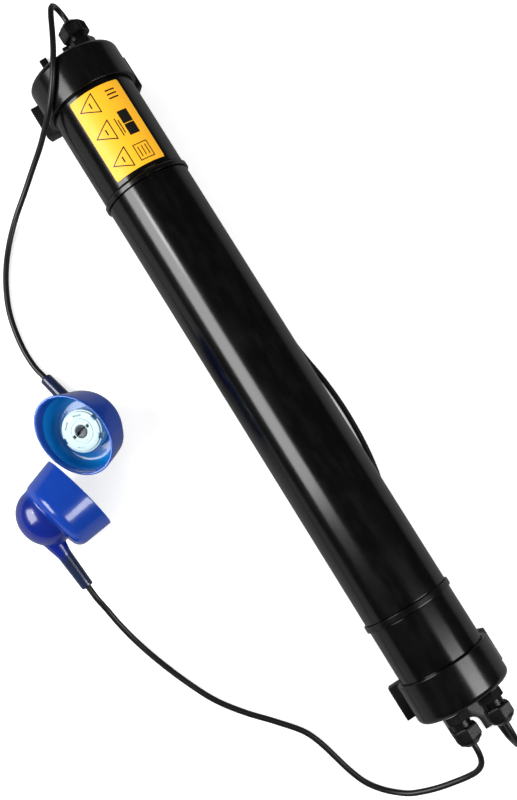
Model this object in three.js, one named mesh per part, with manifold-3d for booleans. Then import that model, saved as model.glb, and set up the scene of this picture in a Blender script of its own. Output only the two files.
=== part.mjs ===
// Sealed control-gear housing of a UV pond clarifier, with two lamp leads and a mains lead.
// Millimetres, +Z up. +X runs along the housing towards the twin-gland end. The housing lies on its
// two clip brackets, so Z = 0 is the surface that they stand on.
import * as THREE from "three";
import { mergeVertices } from "three/addons/utils/BufferGeometryUtils.js";
import Module from "manifold-3d";

const wasm = await Module();
wasm.setup();

// ---------------------------------------------------------------- driving dimensions

const gap = 0.3; // left between pieces that touch
const runningGap = 0.4; // left round a piece that turns or slides

const tubeOuter = 90;
const tubeWall = 3.2;
const collarSpan = 489; // centre to centre of the two collars
const collarBand = 6.5; // width of the raised band
const collarRise = 2.1; // height of the band above the tube
const spigotReach = 18; // how far a collar's spigot enters each tube
const spigotWall = 2.5;
const singleTail = 105; // collar centre to cap rim, single-gland end
const twinTail = 62; // collar centre to cap rim, twin-gland end

const capLength = 42.5;
const capWall = 4.7;
const capEndWall = 5;
const capCorner = 6; // size of the rounded outer corner
const capSeat = 3; // free depth between the tube's end and the cap's end wall
const sealCord = 2.6; // thickness of the cap seal
const sealInset = 10; // cap rim to the middle of the seal

const plate = 4; // thickness of a bracket's base plate
const channelHeight = 7; // cable channel between the base plate and the cap
const channelWidth = 50;
const footLength = 23; // length of a bracket's foot along the tube
const footInset = 3; // foot inside the cap's silhouette, each side
const headStart = -21.3; // cheeks' heads, from the cap's middle
const headEnd = 14.4;
const headProud = 6.3; // heads stand out beyond the cap
const headDraft = 3.2; // how far a head leans outwards over its height
const headHeight = 17;
const headDrop = 23.7; // top of the heads below the tube's axis
const lugWidth = 36;
const lugShoulder = 46; // the lug's width next to the cap
const lugTipLength = 10.8; // length of its narrower tip
const lugReach = 70; // cap's middle to the lug's tip
const slotWidth = 20;
const slotDepth = 18.5;

const glandSpread = 37; // between the two glands of the twin end
const glandRise = 17; // glands above the tube's axis
const glandFlats = 24; // across flats of body, nut and locknut, twin end
const singleFlats = 26.4; // across flats of body and nut, single end
const glandThread = 20;
const washerThickness = 2.2;
const washerOuter = 25;
const bodyHex = 8.2; // length of the gland body's hexagon
const bodyNeck = 7; // bare thread between hexagon and dome nut
const nutHex = 12.5;
const nutDome = 5.5;
const locknutThickness = 5;
const insertWall = 2.6;

const cableOuter = 6;
const coreOuter = 2.2;
const coreLength = 24;
const tieThickness = 1;
const tieWidth = 8;

const labelLength = 92;
const labelHalfAngle = 0.63; // radians either side of the top
const labelThickness = 0.4;

const trayThickness = 1.5;
const trayDrop = 15; // tray below the tube's axis
const trayLip = 8;
const trayEnd = 24; // free length between the tray and the tube's ends
const ballastLength = 280;
const ballastWidth = 42;
const ballastHeight = 30;
const ballastSheet = 1;
const ballastShift = 40; // ballast's middle from the collars' mid-plane
const terminalSize = [34, 30, 16];
const screwHead = 7;
const screwShank = 3.6;

const cupOuter = 79;
const cupLength = 40;
const cupWall = 2.4;
const cupCorner = 8.5;
const bulbSize = [31, 27, 28]; // half axes, towards the sleeve, across and behind
const bulbShift = -7;
const sleeveReach = 72;
const sleeveStart = [14, 0, -11];
const sleeveDrop = 20; // sleeve's end behind the cup's base
const sleeveOuter = 12.6;
const sleeveRoot = 15;

const holderOuter = 44;
const holderFace = 20; // holder's face above the cup's base
const holderStem = 31.4;
const holderStemDepth = 12;
const rotorOuter = 12.8;
const rotorDepth = 8;
const rotorSlot = 2.8;
const testHole = 3.2;
const testHoleSpan = 18.5;

const ROUND = 48; // sides of the large round pieces
const SMALL = 18; // sides of the small ones

// ---------------------------------------------------------------- derived places

const tubeRadius = tubeOuter / 2;
const tubeBore = tubeRadius - tubeWall;
const capSocket = tubeRadius + gap;
const capRadius = capSocket + capWall;
const axisHeight = plate + channelHeight + capRadius;

// X places are first measured from the plane midway between the collars.
const singleRim = -collarSpan / 2 - singleTail;
const twinRim = collarSpan / 2 + twinTail;
const singleTip = singleRim - capLength / 2 - lugReach;
const twinTip = twinRim + capLength / 2 + lugReach;
const shift = -(singleTip + twinTip) / 2; // puts X = 0 midway between the lug tips
const singleFace = singleRim - capLength; // outer face of each cap
const twinFace = twinRim + capLength;
const tubeEndInset = capLength - capEndWall - capSeat;

// ---------------------------------------------------------------- materials

const finish = (color, roughness, metalness = 0) =>
  new THREE.MeshStandardMaterial({ color, roughness, metalness });
const pvc = finish(0x141414, 0.35);
const nylon = finish(0x17181a, 0.5);
const cable = finish(0x1b1b1c, 0.55);
const blueRubber = finish(0x0c44b5, 0.25);
const sealRubber = finish(0x101010, 0.8);
const whiteResin = finish(0xeaf2ee, 0.4);
const labelFilm = finish(0xf7cb26, 0.45);
const zincSteel = finish(0xb8bcc0, 0.35, 1);
const brass = finish(0xc9a656, 0.3, 1);
const greyNylon = finish(0x9a9d9b, 0.5);
const coreColours = [0x7a4a24, 0x2b5fa8, 0x5f9a3c];

// ---------------------------------------------------------------- solids

function manifoldOf(geometry) {
  const bare = geometry.clone();
  bare.deleteAttribute("normal");
  bare.deleteAttribute("uv");
  const merged = mergeVertices(bare, 1e-4);
  const vertProperties = merged.attributes.position.array;
  const triVerts = new Uint32Array(merged.index.array);
  const build = () => new wasm.Manifold(new wasm.Mesh({ numProp: 3, vertProperties, triVerts }));
  const solid = build();
  if (solid.volume() > 0) return solid;
  for (let i = 0; i < triVerts.length; i += 3) {
    [triVerts[i + 1], triVerts[i + 2]] = [triVerts[i + 2], triVerts[i + 1]];
  }
  return build();
}

/** The first geometry joined with, or cut by, the others. Its faces always point out. */
function combine(how, first, others) {
  const result = others.reduce((sum, next) => sum[how](manifoldOf(next)), manifoldOf(first));
  const { vertProperties, triVerts } = result.getMesh();
  const geometry = new THREE.BufferGeometry();
  geometry.setAttribute("position", new THREE.BufferAttribute(vertProperties, 3));
  geometry.setIndex(new THREE.BufferAttribute(triVerts, 1));
  return geometry;
}
const join = (first, ...others) => combine("add", first, others);
const cut = (first, ...others) => combine("subtract", first, others);

/** A body of revolution about X. The outline is a list of [x, radius]. */
function turned(outline, sides = ROUND) {
  const points = outline.map(([x, r]) => new THREE.Vector2(r, x));
  if (outline[0][1] > 0) points.push(points[0].clone());
  return new THREE.LatheGeometry(points, sides).rotateZ(-Math.PI / 2);
}

const disc = (x0, x1, r, sides = ROUND) => turned([[x0, 0], [x0, r], [x1, r], [x1, 0]], sides);

const pipe = (x0, x1, inner, outer, sides = ROUND) =>
  turned([[x0, inner], [x0, outer], [x1, outer], [x1, inner]], sides);

/** A hexagonal prism about X with a corner pointing up. */
const hexagon = (x0, x1, flats) => disc(x0, x1, flats / Math.sqrt(3), 6);

function block([x0, x1], [y0, y1], [z0, z1]) {
  const box = new THREE.BoxGeometry(x1 - x0, y1 - y0, z1 - z0);
  return box.translate((x0 + x1) / 2, (y0 + y1) / 2, (z0 + z1) / 2);
}

/** An outline drawn in X and Y, pushed up from z0 to z1. */
function raised(shape, z0, z1, curveSegments = 12) {
  const options = { depth: z1 - z0, bevelEnabled: false, curveSegments };
  return new THREE.ExtrudeGeometry(shape, options).translate(0, 0, z0);
}

function smoothRoute(points) {
  return new THREE.CatmullRomCurve3(points.map((p) => new THREE.Vector3(...p)), false, "centripetal");
}

/** A round cord along hand-chosen points, with a section about every two and a half diameters. */
function cordAlong(points, diameter, sides = 8) {
  const path = smoothRoute(points);
  const section = new THREE.Shape();
  section.absarc(0, 0, diameter / 2, 0, 2 * Math.PI);
  const steps = Math.max(4, Math.min(80, Math.round(path.getLength() / (2.5 * diameter))));
  const options = { steps, extrudePath: path, curveSegments: sides / 2, bevelEnabled: false };
  return new THREE.ExtrudeGeometry(section, options);
}

/** A straight round bar between two points, tapering from radius r0 to r1. */
function bar(from, to, r0, r1, sides = SMALL) {
  const start = new THREE.Vector3(...from);
  const way = new THREE.Vector3(...to).sub(start);
  const turn = new THREE.Quaternion().setFromUnitVectors(new THREE.Vector3(0, 1, 0), way.clone().normalize());
  const shape = new THREE.CylinderGeometry(r1, r0, way.length(), sides);
  return shape.applyQuaternion(turn).translate(...start.addScaledVector(way, 0.5).toArray());
}

// ---------------------------------------------------------------- scene graph

const object = new THREE.Group();
const housing = new THREE.Group(); // origin on the tube's axis, midway between the collars
housing.position.set(shift, 0, axisHeight);
object.add(housing);

function piece(parent, name, geometry, material) {
  const mesh = new THREE.Mesh(join(geometry), material);
  mesh.name = name;
  parent.add(mesh);
  return mesh;
}

// ---------------------------------------------------------------- tubes and collars

function housingTubes() {
  const half = (collarSpan - collarBand) / 2 - gap;
  const outer = collarSpan / 2 + collarBand / 2 + gap;
  piece(housing, "middle_tube", pipe(-half, half, tubeBore, tubeRadius), pvc);
  piece(housing, "single_end_tube", pipe(singleRim - tubeEndInset, -outer, tubeBore, tubeRadius), pvc);
  piece(housing, "twin_end_tube", pipe(outer, twinRim + tubeEndInset, tubeBore, tubeRadius), pvc);
}

/** A collar: a raised band with a spigot into each tube. The single-end band has a ramped side. */
function collar(name, x, ramp) {
  const spigot = tubeBore - gap;
  const band = tubeRadius + collarRise;
  const half = collarBand / 2;
  const outline = [
    [x - half - spigotReach, spigot - spigotWall],
    [x - half - spigotReach, spigot],
    [x - half, spigot],
    [x - half, band - ramp],
    [x - half + ramp, band],
    [x + half, band],
    [x + half, spigot],
    [x + half + spigotReach, spigot],
    [x + half + spigotReach, spigot - spigotWall],
  ];
  if (ramp === 0) outline.splice(4, 1);
  piece(housing, name, turned(outline), pvc);
}

// ---------------------------------------------------------------- caps and seals

/** A cap opening towards -X with its rim at x = 0, then faced the way of its end. */
function endCap(name, rim, way, glands) {
  const grooveHalf = sealCord / 2 + gap;
  const grooveRadius = capSocket + sealCord;
  const outline = [
    [0, capSocket],
    [0, capRadius - 0.8],
    [0.8, capRadius],
    [capLength - capCorner, capRadius],
    [capLength - capCorner * 0.29, capRadius - capCorner * 0.29],
    [capLength, capRadius - capCorner],
    [capLength, 0],
    [capLength - capEndWall, 0],
    [capLength - capEndWall, capSocket],
    [sealInset + grooveHalf, capSocket],
    [sealInset + grooveHalf, grooveRadius],
    [sealInset - grooveHalf, grooveRadius],
    [sealInset - grooveHalf, capSocket],
  ];
  const shell = turned([...outline.slice(7), ...outline.slice(0, 7)]);
  const holes = glands.map((y) => {
    const hole = disc(capLength - capEndWall - 2, capLength + 2, glandThread / 2 + gap, SMALL);
    return hole.translate(0, y, glandRise);
  });
  const cap = cut(shell, ...holes);
  if (way < 0) cap.rotateZ(Math.PI);
  piece(housing, name, cap.translate(rim, 0, 0), pvc);
}

function capSeal(name, rim, way) {
  const middle = rim + way * sealInset;
  const ring = new THREE.TorusGeometry(capSocket + sealCord / 2, sealCord / 2 - gap / 2, 6, 36);
  piece(housing, name, ring.rotateY(Math.PI / 2).translate(middle, 0, 0), sealRubber);
}

// ---------------------------------------------------------------- brackets

/** Lays a raised outline along the tube: its X and Y become Y and Z, and its depth runs along X. */
function alongTube(geometry) {
  const basis = new THREE.Matrix4().makeBasis(
    new THREE.Vector3(0, 1, 0), new THREE.Vector3(0, 0, 1), new THREE.Vector3(1, 0, 0));
  return geometry.applyMatrix4(basis);
}

/** A clip bracket whose lug points towards +X, centred under a cap. */
function bracket(name, middle, way) {
  const bottom = -axisHeight;
  const half = footLength / 2;
  const side = capRadius - footInset;
  const cradle = capRadius + gap;
  const headSide = capRadius + headProud;
  const headBottom = -headDrop - headHeight;
  const base = block([-half, half], [-side, side], [bottom, bottom + plate]);
  const cheeks = [-1, 1].map((hand) => {
    const y = [hand * channelWidth / 2, hand * side].sort((a, b) => a - b);
    return block([-half, half], y, [bottom + plate / 2, headBottom + 2]);
  });
  const heads = [-1, 1].map((hand) => {
    const outline = new THREE.Shape();
    outline.moveTo(hand * channelWidth / 2, headBottom);
    outline.lineTo(hand * (headSide - headDraft), headBottom);
    outline.lineTo(hand * headSide, -headDrop - 4);
    outline.lineTo(hand * headSide, -headDrop);
    outline.lineTo(hand * channelWidth / 2, -headDrop);
    return alongTube(raised(outline, headStart, headEnd));
  });
  const lug = new THREE.Shape();
  const slotRadius = slotWidth / 2;
  const archCentre = lugReach - slotDepth + slotRadius;
  const shoulder = lugReach - lugTipLength;
  lug.moveTo(half - 1, -lugShoulder / 2);
  lug.lineTo(shoulder, -lugShoulder / 2);
  lug.lineTo(shoulder, -lugWidth / 2);
  lug.lineTo(lugReach, -lugWidth / 2);
  lug.lineTo(lugReach, -slotRadius);
  lug.lineTo(archCentre, -slotRadius);
  lug.absarc(archCentre, 0, slotRadius, -Math.PI / 2, Math.PI / 2, true);
  lug.lineTo(lugReach, slotRadius);
  lug.lineTo(lugReach, lugWidth / 2);
  lug.lineTo(shoulder, lugWidth / 2);
  lug.lineTo(shoulder, lugShoulder / 2);
  lug.lineTo(half - 1, lugShoulder / 2);
  const body = join(base, ...cheeks, ...heads, raised(lug, bottom, bottom + plate));
  const shaped = cut(body, disc(headStart - 1, half + 5, cradle));
  if (way < 0) shaped.rotateZ(Math.PI);
  piece(housing, name, shaped.translate(middle, 0, 0), nylon);
}

// ---------------------------------------------------------------- cable glands

/** A cable gland that points towards +X in its own group, with x = 0 on the cap's face. */
function gland(name, face, way, y, flats, turn) {
  const group = new THREE.Group();
  group.position.set(face, y, glandRise);
  if (way < 0) group.rotation.z = Math.PI;
  housing.add(group);
  const thread = glandThread / 2;
  const hexStart = washerThickness + 2 * gap;
  const hexEnd = hexStart + bodyHex;
  const nutStart = hexEnd + bodyNeck;
  const nutEnd = nutStart + nutHex;
  const mouth = nutEnd + nutDome;
  const insertRadius = cableOuter / 2 + gap + insertWall;
  const insertStart = nutStart + 1;
  const insertEnd = nutEnd + 1;
  const threadEnd = nutStart + nutHex * 0.6;
  const inside = -capEndWall - locknutThickness - 3;
  const bodyBore = insertRadius + runningGap;

  const hexBody = hexagon(hexStart, hexEnd, flats).rotateX(turn);
  const body = join(disc(inside, threadEnd, thread, SMALL), hexBody);
  const bore = disc(inside - 1, insertStart - gap, cableOuter / 2 + 1, SMALL);
  const counterbore = disc(insertStart - 2 * gap, threadEnd + 1, bodyBore, SMALL);
  piece(group, name + "_body", cut(body, bore, counterbore), nylon);

  const washer = pipe(gap, gap + washerThickness, thread + gap, washerOuter / 2, SMALL);
  piece(group, name + "_washer", washer, greyNylon);

  const locknutEnd = -capEndWall - gap;
  const locknut = hexagon(locknutEnd - locknutThickness, locknutEnd, glandFlats);
  const locknutBore = disc(locknutEnd - locknutThickness - 1, locknutEnd + 1, thread + gap, SMALL);
  piece(group, name + "_locknut", cut(locknut, locknutBore), nylon);

  const insert = pipe(insertStart, insertEnd, cableOuter / 2 + gap, insertRadius, SMALL);
  piece(group, name + "_insert", insert, sealRubber);

  const corner = flats / Math.sqrt(3);
  const dome = turned([[nutEnd - 1, 0], [nutEnd - 1, 11.2], [nutEnd + 2.4, 10.6],
    [mouth - 0.8, 7.6], [mouth, 6.2], [mouth, 0]], SMALL);
  const rounding = turned([[nutStart - 1, 0], [nutStart - 1, corner - 1], [nutStart + 1, corner],
    [nutEnd - 1, corner], [nutEnd + 0.6, corner - 1.4], [nutEnd + 0.6, 0]], SMALL);
  const hex = combine("intersect", hexagon(nutStart, nutEnd, flats).rotateX(turn), [rounding]);
  const nutBore = turned([[nutStart - 1, 0], [nutStart - 1, thread + runningGap],
    [threadEnd + runningGap + 3.2, thread + runningGap],
    [insertEnd + 2 * runningGap, insertRadius + runningGap], [insertEnd + 2 * runningGap, 0]], SMALL);
  const cableHole = disc(insertEnd, mouth + 1, cableOuter / 2 + 1, SMALL);
  piece(group, name + "_dome_nut", cut(join(hex, dome), nutBore, cableHole), nylon);
}

// ---------------------------------------------------------------- label

function label() {
  const inner = tubeRadius + gap;
  const outer = inner + labelThickness;
  const outline = new THREE.Shape();
  const start = Math.PI / 2 - labelHalfAngle;
  const end = Math.PI / 2 + labelHalfAngle;
  outline.absarc(0, 0, outer, start, end, false);
  outline.absarc(0, 0, inner, end, start, true);
  const free = singleTail - collarBand / 2 - labelLength; // bare tube beside the label
  const x = singleRim + free / 2;
  const sheet = raised(outline, 0, labelLength, 16);
  piece(housing, "label", alongTube(sheet).translate(x, 0, 0), labelFilm);
}

// ---------------------------------------------------------------- inside the housing

function gearTray() {
  const x0 = singleRim - tubeEndInset + trayEnd;
  const x1 = twinRim + tubeEndInset - trayEnd;
  const top = -trayDrop;
  // The tray's lower edges clear the bore of the collars' spigots.
  const clearRadius = tubeBore - gap - spigotWall - gap;
  const side = Math.sqrt(clearRadius ** 2 - (trayDrop + trayThickness) ** 2);
  const floor = block([x0, x1], [-side, side], [top - trayThickness, top]);
  const lips = [-1, 1].map((hand) => {
    const y = [hand * side, hand * (side - trayThickness)].sort((a, b) => a - b);
    return block([x0, x1], y, [top - trayThickness, top + trayLip]);
  });
  const screwX = ballastShift + ballastLength / 2 + 8;
  const holes = [screwX, 2 * ballastShift - screwX].map((x) =>
    bar([x, 0, top - 3], [x, 0, top + 1], screwShank / 2 + gap, screwShank / 2 + gap, 12));
  piece(housing, "gear_tray", cut(join(floor, ...lips), ...holes), zincSteel);

  const half = ballastLength / 2;
  const wide = ballastWidth / 2;
  const foot = top + gap;
  const caseTop = foot + ballastHeight;
  const tab = half + 16;
  const caseBox = join(
    block([ballastShift - half, ballastShift + half], [-wide, wide], [foot, caseTop]),
    block([ballastShift - tab, ballastShift + tab], [-wide * 0.6, wide * 0.6], [foot, foot + 1.2]));
  const hollow = block([ballastShift - half + ballastSheet, ballastShift + half - ballastSheet],
    [-wide + ballastSheet, wide - ballastSheet], [foot + ballastSheet, caseTop + 1]);
  const tabHoles = [screwX, 2 * ballastShift - screwX].map((x) =>
    bar([x, 0, foot - 1], [x, 0, foot + 3], screwShank / 2 + gap, screwShank / 2 + gap, 12));
  piece(housing, "ballast_case", cut(caseBox, hollow, ...tabHoles), zincSteel);

  const lidSide = wide + gap + ballastSheet;
  const lidHalf = half + gap + ballastSheet;
  const lid = cut(
    block([ballastShift - lidHalf, ballastShift + lidHalf], [-lidSide, lidSide],
      [caseTop - 9, caseTop + gap + ballastSheet]),
    block([ballastShift - half - gap, ballastShift + half + gap], [-wide - gap, wide + gap],
      [caseTop - 10, caseTop + gap]));
  piece(housing, "ballast_cover", lid, zincSteel);

  [["single", 2 * ballastShift - screwX], ["twin", screwX]].forEach(([end, x]) => {
    const head = bar([x, 0, foot + 1.2 + gap], [x, 0, foot + 3.8], screwHead / 2, screwHead / 2.4, 14);
    const shank = bar([x, 0, top - 7], [x, 0, foot + 2.4], screwShank / 2, screwShank / 2, 12);
    piece(housing, end + "_tray_screw", join(head, shank), zincSteel);
  });
}

const terminalPlaces = { single: singleFace + 92, twin: twinFace - 92 };

function terminalBlock(end) {
  const [length, width, height] = terminalSize;
  const x = terminalPlaces[end];
  const bottom = -trayDrop + gap;
  const body = block([x - length / 2, x + length / 2], [-width / 2, width / 2], [bottom, bottom + height]);
  const ways = [-1, 0, 1].map((k) => k * (width / 3.2));
  const tunnels = ways.map((y) => disc(x - length / 2 - 1, x + length / 2 + 1, 1.6, 10)
    .translate(0, y, bottom + height * 0.4));
  const wells = ways.flatMap((y) => [-1, 1].map((hand) => {
    const at = x + hand * length * 0.28;
    return bar([at, y, bottom + height * 0.6], [at, y, bottom + height + 1], 2.2, 2.2, 10);
  }));
  piece(housing, end + "_terminal_block", cut(body, ...tunnels, ...wells), whiteResin);
}

/** The unsheathed wires of one lead, from its gland's inner end to the terminal block. */
function wireTail(name, end, way, y, lane) {
  const face = way > 0 ? twinFace : singleFace;
  const start = face - way * (capEndWall + locknutThickness + 3 + gap);
  const finishX = terminalPlaces[end] + way * (terminalSize[0] / 2 + gap);
  const low = -trayDrop + gap + terminalSize[2] * 0.4;
  const points = [
    [start, y, glandRise],
    [start - way * 12, y, glandRise - 1],
    [(start + finishX) / 2, (y + lane) / 2, (glandRise + low) / 2],
    [finishX + way * 10, lane, low + 1],
    [finishX, lane, low],
  ];
  piece(housing, name, cordAlong(points, coreOuter * 1.6, 6), cable);
}

/** A wire that runs beside or over the ballast, between a terminal block and the ballast's end. */
function ballastWire(name, end, way) {
  const start = terminalPlaces[end] - way * (terminalSize[0] / 2 + gap);
  const caseEnd = ballastShift + way * (ballastLength / 2 + ballastSheet + 2 * gap);
  const low = -trayDrop + gap + terminalSize[2] * 0.4;
  const points = [
    [start, 4, low],
    [start - way * 8, 4, low + 1],
    [(start + caseEnd) / 2, 6, low + 4],
    [caseEnd + way * 8, 4, low + 5],
    [caseEnd, 4, low + 5],
  ];
  piece(housing, name, cordAlong(points, coreOuter * 1.6, 6), cable);
}

// ---------------------------------------------------------------- boots and lamp holders

/** A body of revolution about Z. The outline is a list of [z, radius]. */
function turnedUp(outline, sides = 28) {
  const points = outline.map(([z, r]) => new THREE.Vector2(r, z));
  if (outline[0][1] > 0) points.push(points[0].clone());
  return new THREE.LatheGeometry(points, sides).rotateX(Math.PI / 2);
}

/** The soft cup spreads from round at its base to an oval at its rim. */
function ovalTowardsRim(geometry, along, across) {
  const place = geometry.attributes.position;
  for (let i = 0; i < place.count; i += 1) {
    const share = THREE.MathUtils.clamp(place.getZ(i) / cupLength, 0, 1);
    place.setX(i, place.getX(i) * (1 + share * (along / (cupOuter / 2) - 1)));
    place.setY(i, place.getY(i) * (1 + share * (across / (cupOuter / 2) - 1)));
  }
  return geometry;
}

/** A rubber boot: cup (mouth towards +Z), bulb behind it, and a sleeve that leaves towards +X. */
function boot(parent, name, along, across) {
  const radius = cupOuter / 2;
  const inner = radius - cupWall;
  const bevel = cupCorner * 0.3;
  const cup = ovalTowardsRim(turnedUp([[0, 0], [0, radius - cupCorner], [bevel, radius - bevel],
    [cupCorner, radius], [cupLength / 2, radius], [cupLength, radius], [cupLength, 0]]), along, across);
  const hollow = ovalTowardsRim(turnedUp([[cupWall, 0], [cupWall, inner - cupCorner + 1],
    [cupCorner, inner], [cupLength / 2, inner], [cupLength + 1, inner], [cupLength + 1, 0]]), along, across);
  const sphere = new THREE.SphereGeometry(1, 20, 12).rotateX(Math.PI / 2);
  const bulb = sphere.clone().scale(...bulbSize).translate(bulbShift, 0, 0);
  const room = sphere.clone().scale(...bulbSize.map((size) => size - 3)).translate(bulbShift, 0, 0);
  const above = block([-60, 60], [-60, 60], [0, 60]);
  const end = [sleeveReach, 0, -sleeveDrop];
  const sleeve = bar(sleeveStart, end, sleeveRoot / 2, sleeveOuter / 2);
  const way = new THREE.Vector3(...end).sub(new THREE.Vector3(...sleeveStart));
  const beyond = new THREE.Vector3(...end).addScaledVector(way, 0.1).toArray();
  const bore = bar(sleeveStart, beyond, cableOuter / 2 + gap, cableOuter / 2 + gap, 12);
  const stemHole = turnedUp([[-1, 0], [-1, holderStem / 2 + gap], [cupWall + 1, holderStem / 2 + gap],
    [cupWall + 1, 0]], 24);
  const outside = join(cup, bulb, sleeve);
  piece(parent, name, cut(outside, hollow, cut(room, above), bore, stemHole), blueRubber);
}

/** A round lamp holder that stands in the cup, with its rotor and two contacts. */
function lampHolder(parent, name, turn) {
  const group = new THREE.Group();
  group.rotation.z = turn;
  parent.add(group);
  const radius = holderOuter / 2;
  const foot = cupWall + gap;
  const drum = turnedUp([[-holderStemDepth, 0], [-holderStemDepth, holderStem / 2], [foot, holderStem / 2],
    [foot, radius], [holderFace - 1, radius], [holderFace, radius - 1], [holderFace, 0]]);
  const seat = rotorOuter / 2 + runningGap;
  const recess = turnedUp([[holderFace - rotorDepth, 0], [holderFace - rotorDepth, seat],
    [holderFace + 1, seat], [holderFace + 1, 0]], SMALL);
  const notches = [-0.05, 0.72, 1.03].map((share) => {
    const notch = block([radius - 3, radius + 2], [-3, 3], [holderFace - 7, holderFace + 1]);
    return notch.rotateZ(share * Math.PI);
  });
  const half = testHole / 2;
  const pocket = (hand) => block([hand * testHoleSpan / 2 - half, hand * testHoleSpan / 2 + half],
    [-half, half], [holderFace - 6, holderFace + 1]);
  piece(group, name, cut(drum, recess, ...notches, pocket(-1), pocket(1)), whiteResin);

  const bottom = holderFace - rotorDepth + runningGap;
  const hub = turnedUp([[bottom, 0], [bottom, rotorOuter / 2], [holderFace + 0.6, rotorOuter / 2],
    [holderFace + 0.6, 0]], SMALL);
  const slot = block([-rotorOuter, rotorOuter], [-rotorSlot / 2, rotorSlot / 2],
    [holderFace - 5, holderFace + 2]);
  piece(group, name + "_rotor", cut(hub, slot), greyNylon);

  [-1, 1].forEach((hand, i) => {
    const x = hand * testHoleSpan / 2;
    const tab = block([x - 0.9, x + 0.9], [-0.9, 0.9], [holderFace - 5.7, holderFace - 1.5]);
    piece(group, name + "_contact_" + (i + 1), tab, brass);
  });
}

/**
 * Boot, holder, rotor and contacts, placed by the mouth's direction and the sleeve's direction.
 * Returns the points where the lead enters the sleeve.
 */
function lampEnd(end, base, mouth, towardsSleeve, along, across, rotorTurn) {
  const z = new THREE.Vector3(...mouth).normalize();
  const x = new THREE.Vector3(...towardsSleeve);
  x.addScaledVector(z, -x.dot(z)).normalize();
  const y = new THREE.Vector3().crossVectors(z, x);
  const group = new THREE.Group();
  group.quaternion.setFromRotationMatrix(new THREE.Matrix4().makeBasis(x, y, z));
  group.position.set(...base);
  object.add(group);
  boot(group, end + "_boot", along, across);
  lampHolder(group, end + "_lamp_holder", rotorTurn);
  group.updateMatrixWorld();

  // The lead's last points lie on the sleeve's axis: two outside it, then two in its bore.
  const mouthEnd = new THREE.Vector3(sleeveReach, 0, -sleeveDrop);
  const way = mouthEnd.clone().sub(new THREE.Vector3(...sleeveStart)).normalize();
  return [14, 5, -3, -12].map((reach) =>
    group.localToWorld(mouthEnd.clone().addScaledVector(way, reach)).toArray());
}

// ---------------------------------------------------------------- leads

// Route of the single end's lamp lead: back over the cap, down to the floor, to the upright boot.
const singleLeadRoute = [
  [-396.5, 18.5, 78], [-409, 18.5, 78], [-414.2, 18.1, 79], [-418.6, 17, 82], [-421.5, 15.4, 86.4],
  [-422.5, 13.5, 91.5], [-421.5, 11.4, 96.7], [-418.6, 9, 101.1], [-414, 6.2, 104.4],
  [-405, 1.8, 107.6], [-390, -5.2, 110.8], [-373, -14, 112.6], [-360, -22.4, 110.6],
  [-348, -31, 105.2], [-338, -40, 96.8], [-330, -49, 86], [-323, -59, 72], [-317, -69, 57],
  [-307, -87, 37], [-295, -106, 20.4], [-281, -126, 9], [-264, -144, 4.2], [-244, -160, 3.1],
  [-222, -173, 3], [-198, -183, 3], [-172, -188.6, 3], [-150, -190.4, 3],
];

// Route of the twin end's lamp lead: down from the gland in a wide arc, then along the floor.
const twinLeadRoute = [
  [396.5, -18.5, 78], [406.5, -18.5, 78], [414, -18.6, 77.4], [422, -19.2, 74], [429.5, -22, 68],
  [434, -28, 60.5], [435.5, -37, 52], [435.2, -50, 42.5], [434, -64, 33], [431.3, -77.6, 24.5],
  [427, -91, 16.5], [419.6, -102.4, 10], [409.7, -113, 5.6], [396.8, -122.2, 3.5], [379.6, -129.1, 3],
  [359.9, -134.5, 3], [340.4, -140, 3], [323.8, -147.4, 3], [299, -167.4, 3], [275.6, -188.3, 3],
  [249.3, -207.4, 3], [217.3, -223, 3], [182, -236.7, 3.4], [156, -244.6, 5.6], [134, -249.4, 10.6],
  [115, -252.2, 17.2],
];

// Route of the mains lead: down beside the lug, through the bracket's channel and under the tube,
// with a low arc that stands out beside the tube.
const mainsLeadRoute = [
  [396.5, 18.5, 78], [409, 18.5, 78], [418.9, 18.7, 76], [427.4, 19, 70.4], [433, 19.5, 62],
  [435, 20.2, 53], [435, 21, 43], [435, 21.8, 32.8], [433, 22.3, 23], [427.4, 22.7, 14.8],
  [418.9, 22.9, 9.3], [409, 22.9, 7.5], [398, 22.5, 7.3], [386.5, 21.9, 7.3], [375, 20.9, 7.5],
  [360, 19.2, 7.7], [345, 17.2, 7.7], [331, 15.4, 7.3], [315, 13.4, 4.9], [298, 12.5, 3.3],
  [275, 13, 3.1], [250, 18, 3], [222, 27, 3], [192, 39, 3], [160, 50, 3], [128, 57, 3],
  [96, 60.3, 3], [64, 61, 3], [32, 59, 3], [0, 54.6, 3], [-28, 51.8, 3.2], [-56, 51, 3.9],
  [-80, 51, 4.4], [-99.5, 51, 4.4],
];

// The hank of spare mains lead, folded under the tube.
const hankMiddle = [-170, 8];
const hankStraight = 92;
const hankHalfWidth = 46.3;
const hankBottom = 1.4;
const hankHeight = 12.2;
const mainsTailRoute = [
  [-256.5, 36, 10.4], [-262, 36, 10], [-272, 35.6, 7.4], [-282, 35, 4.7], [-291, 34.4, 3.3],
  [-299, 34, 3.1],
];

function hank() {
  const [x, y] = hankMiddle;
  const half = hankStraight / 2;
  const outline = new THREE.Shape();
  outline.absarc(x + half, y, hankHalfWidth, -Math.PI / 2, Math.PI / 2, false);
  outline.absarc(x - half, y, hankHalfWidth, Math.PI / 2, 1.5 * Math.PI, false);
  piece(object, "mains_hank", raised(outline, hankBottom, hankBottom + hankHeight), cable);

  const inner = hankHalfWidth + gap;
  const outer = inner + tieThickness;
  const top = hankBottom + hankHeight + gap;
  const tie = cut(
    block([x - tieWidth / 2, x + tieWidth / 2], [y - outer, y + outer], [0, top + tieThickness]),
    block([x - tieWidth, x + tieWidth], [y - inner, y + inner], [tieThickness, top]));
  piece(object, "hank_tie", tie, nylon);
}

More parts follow.
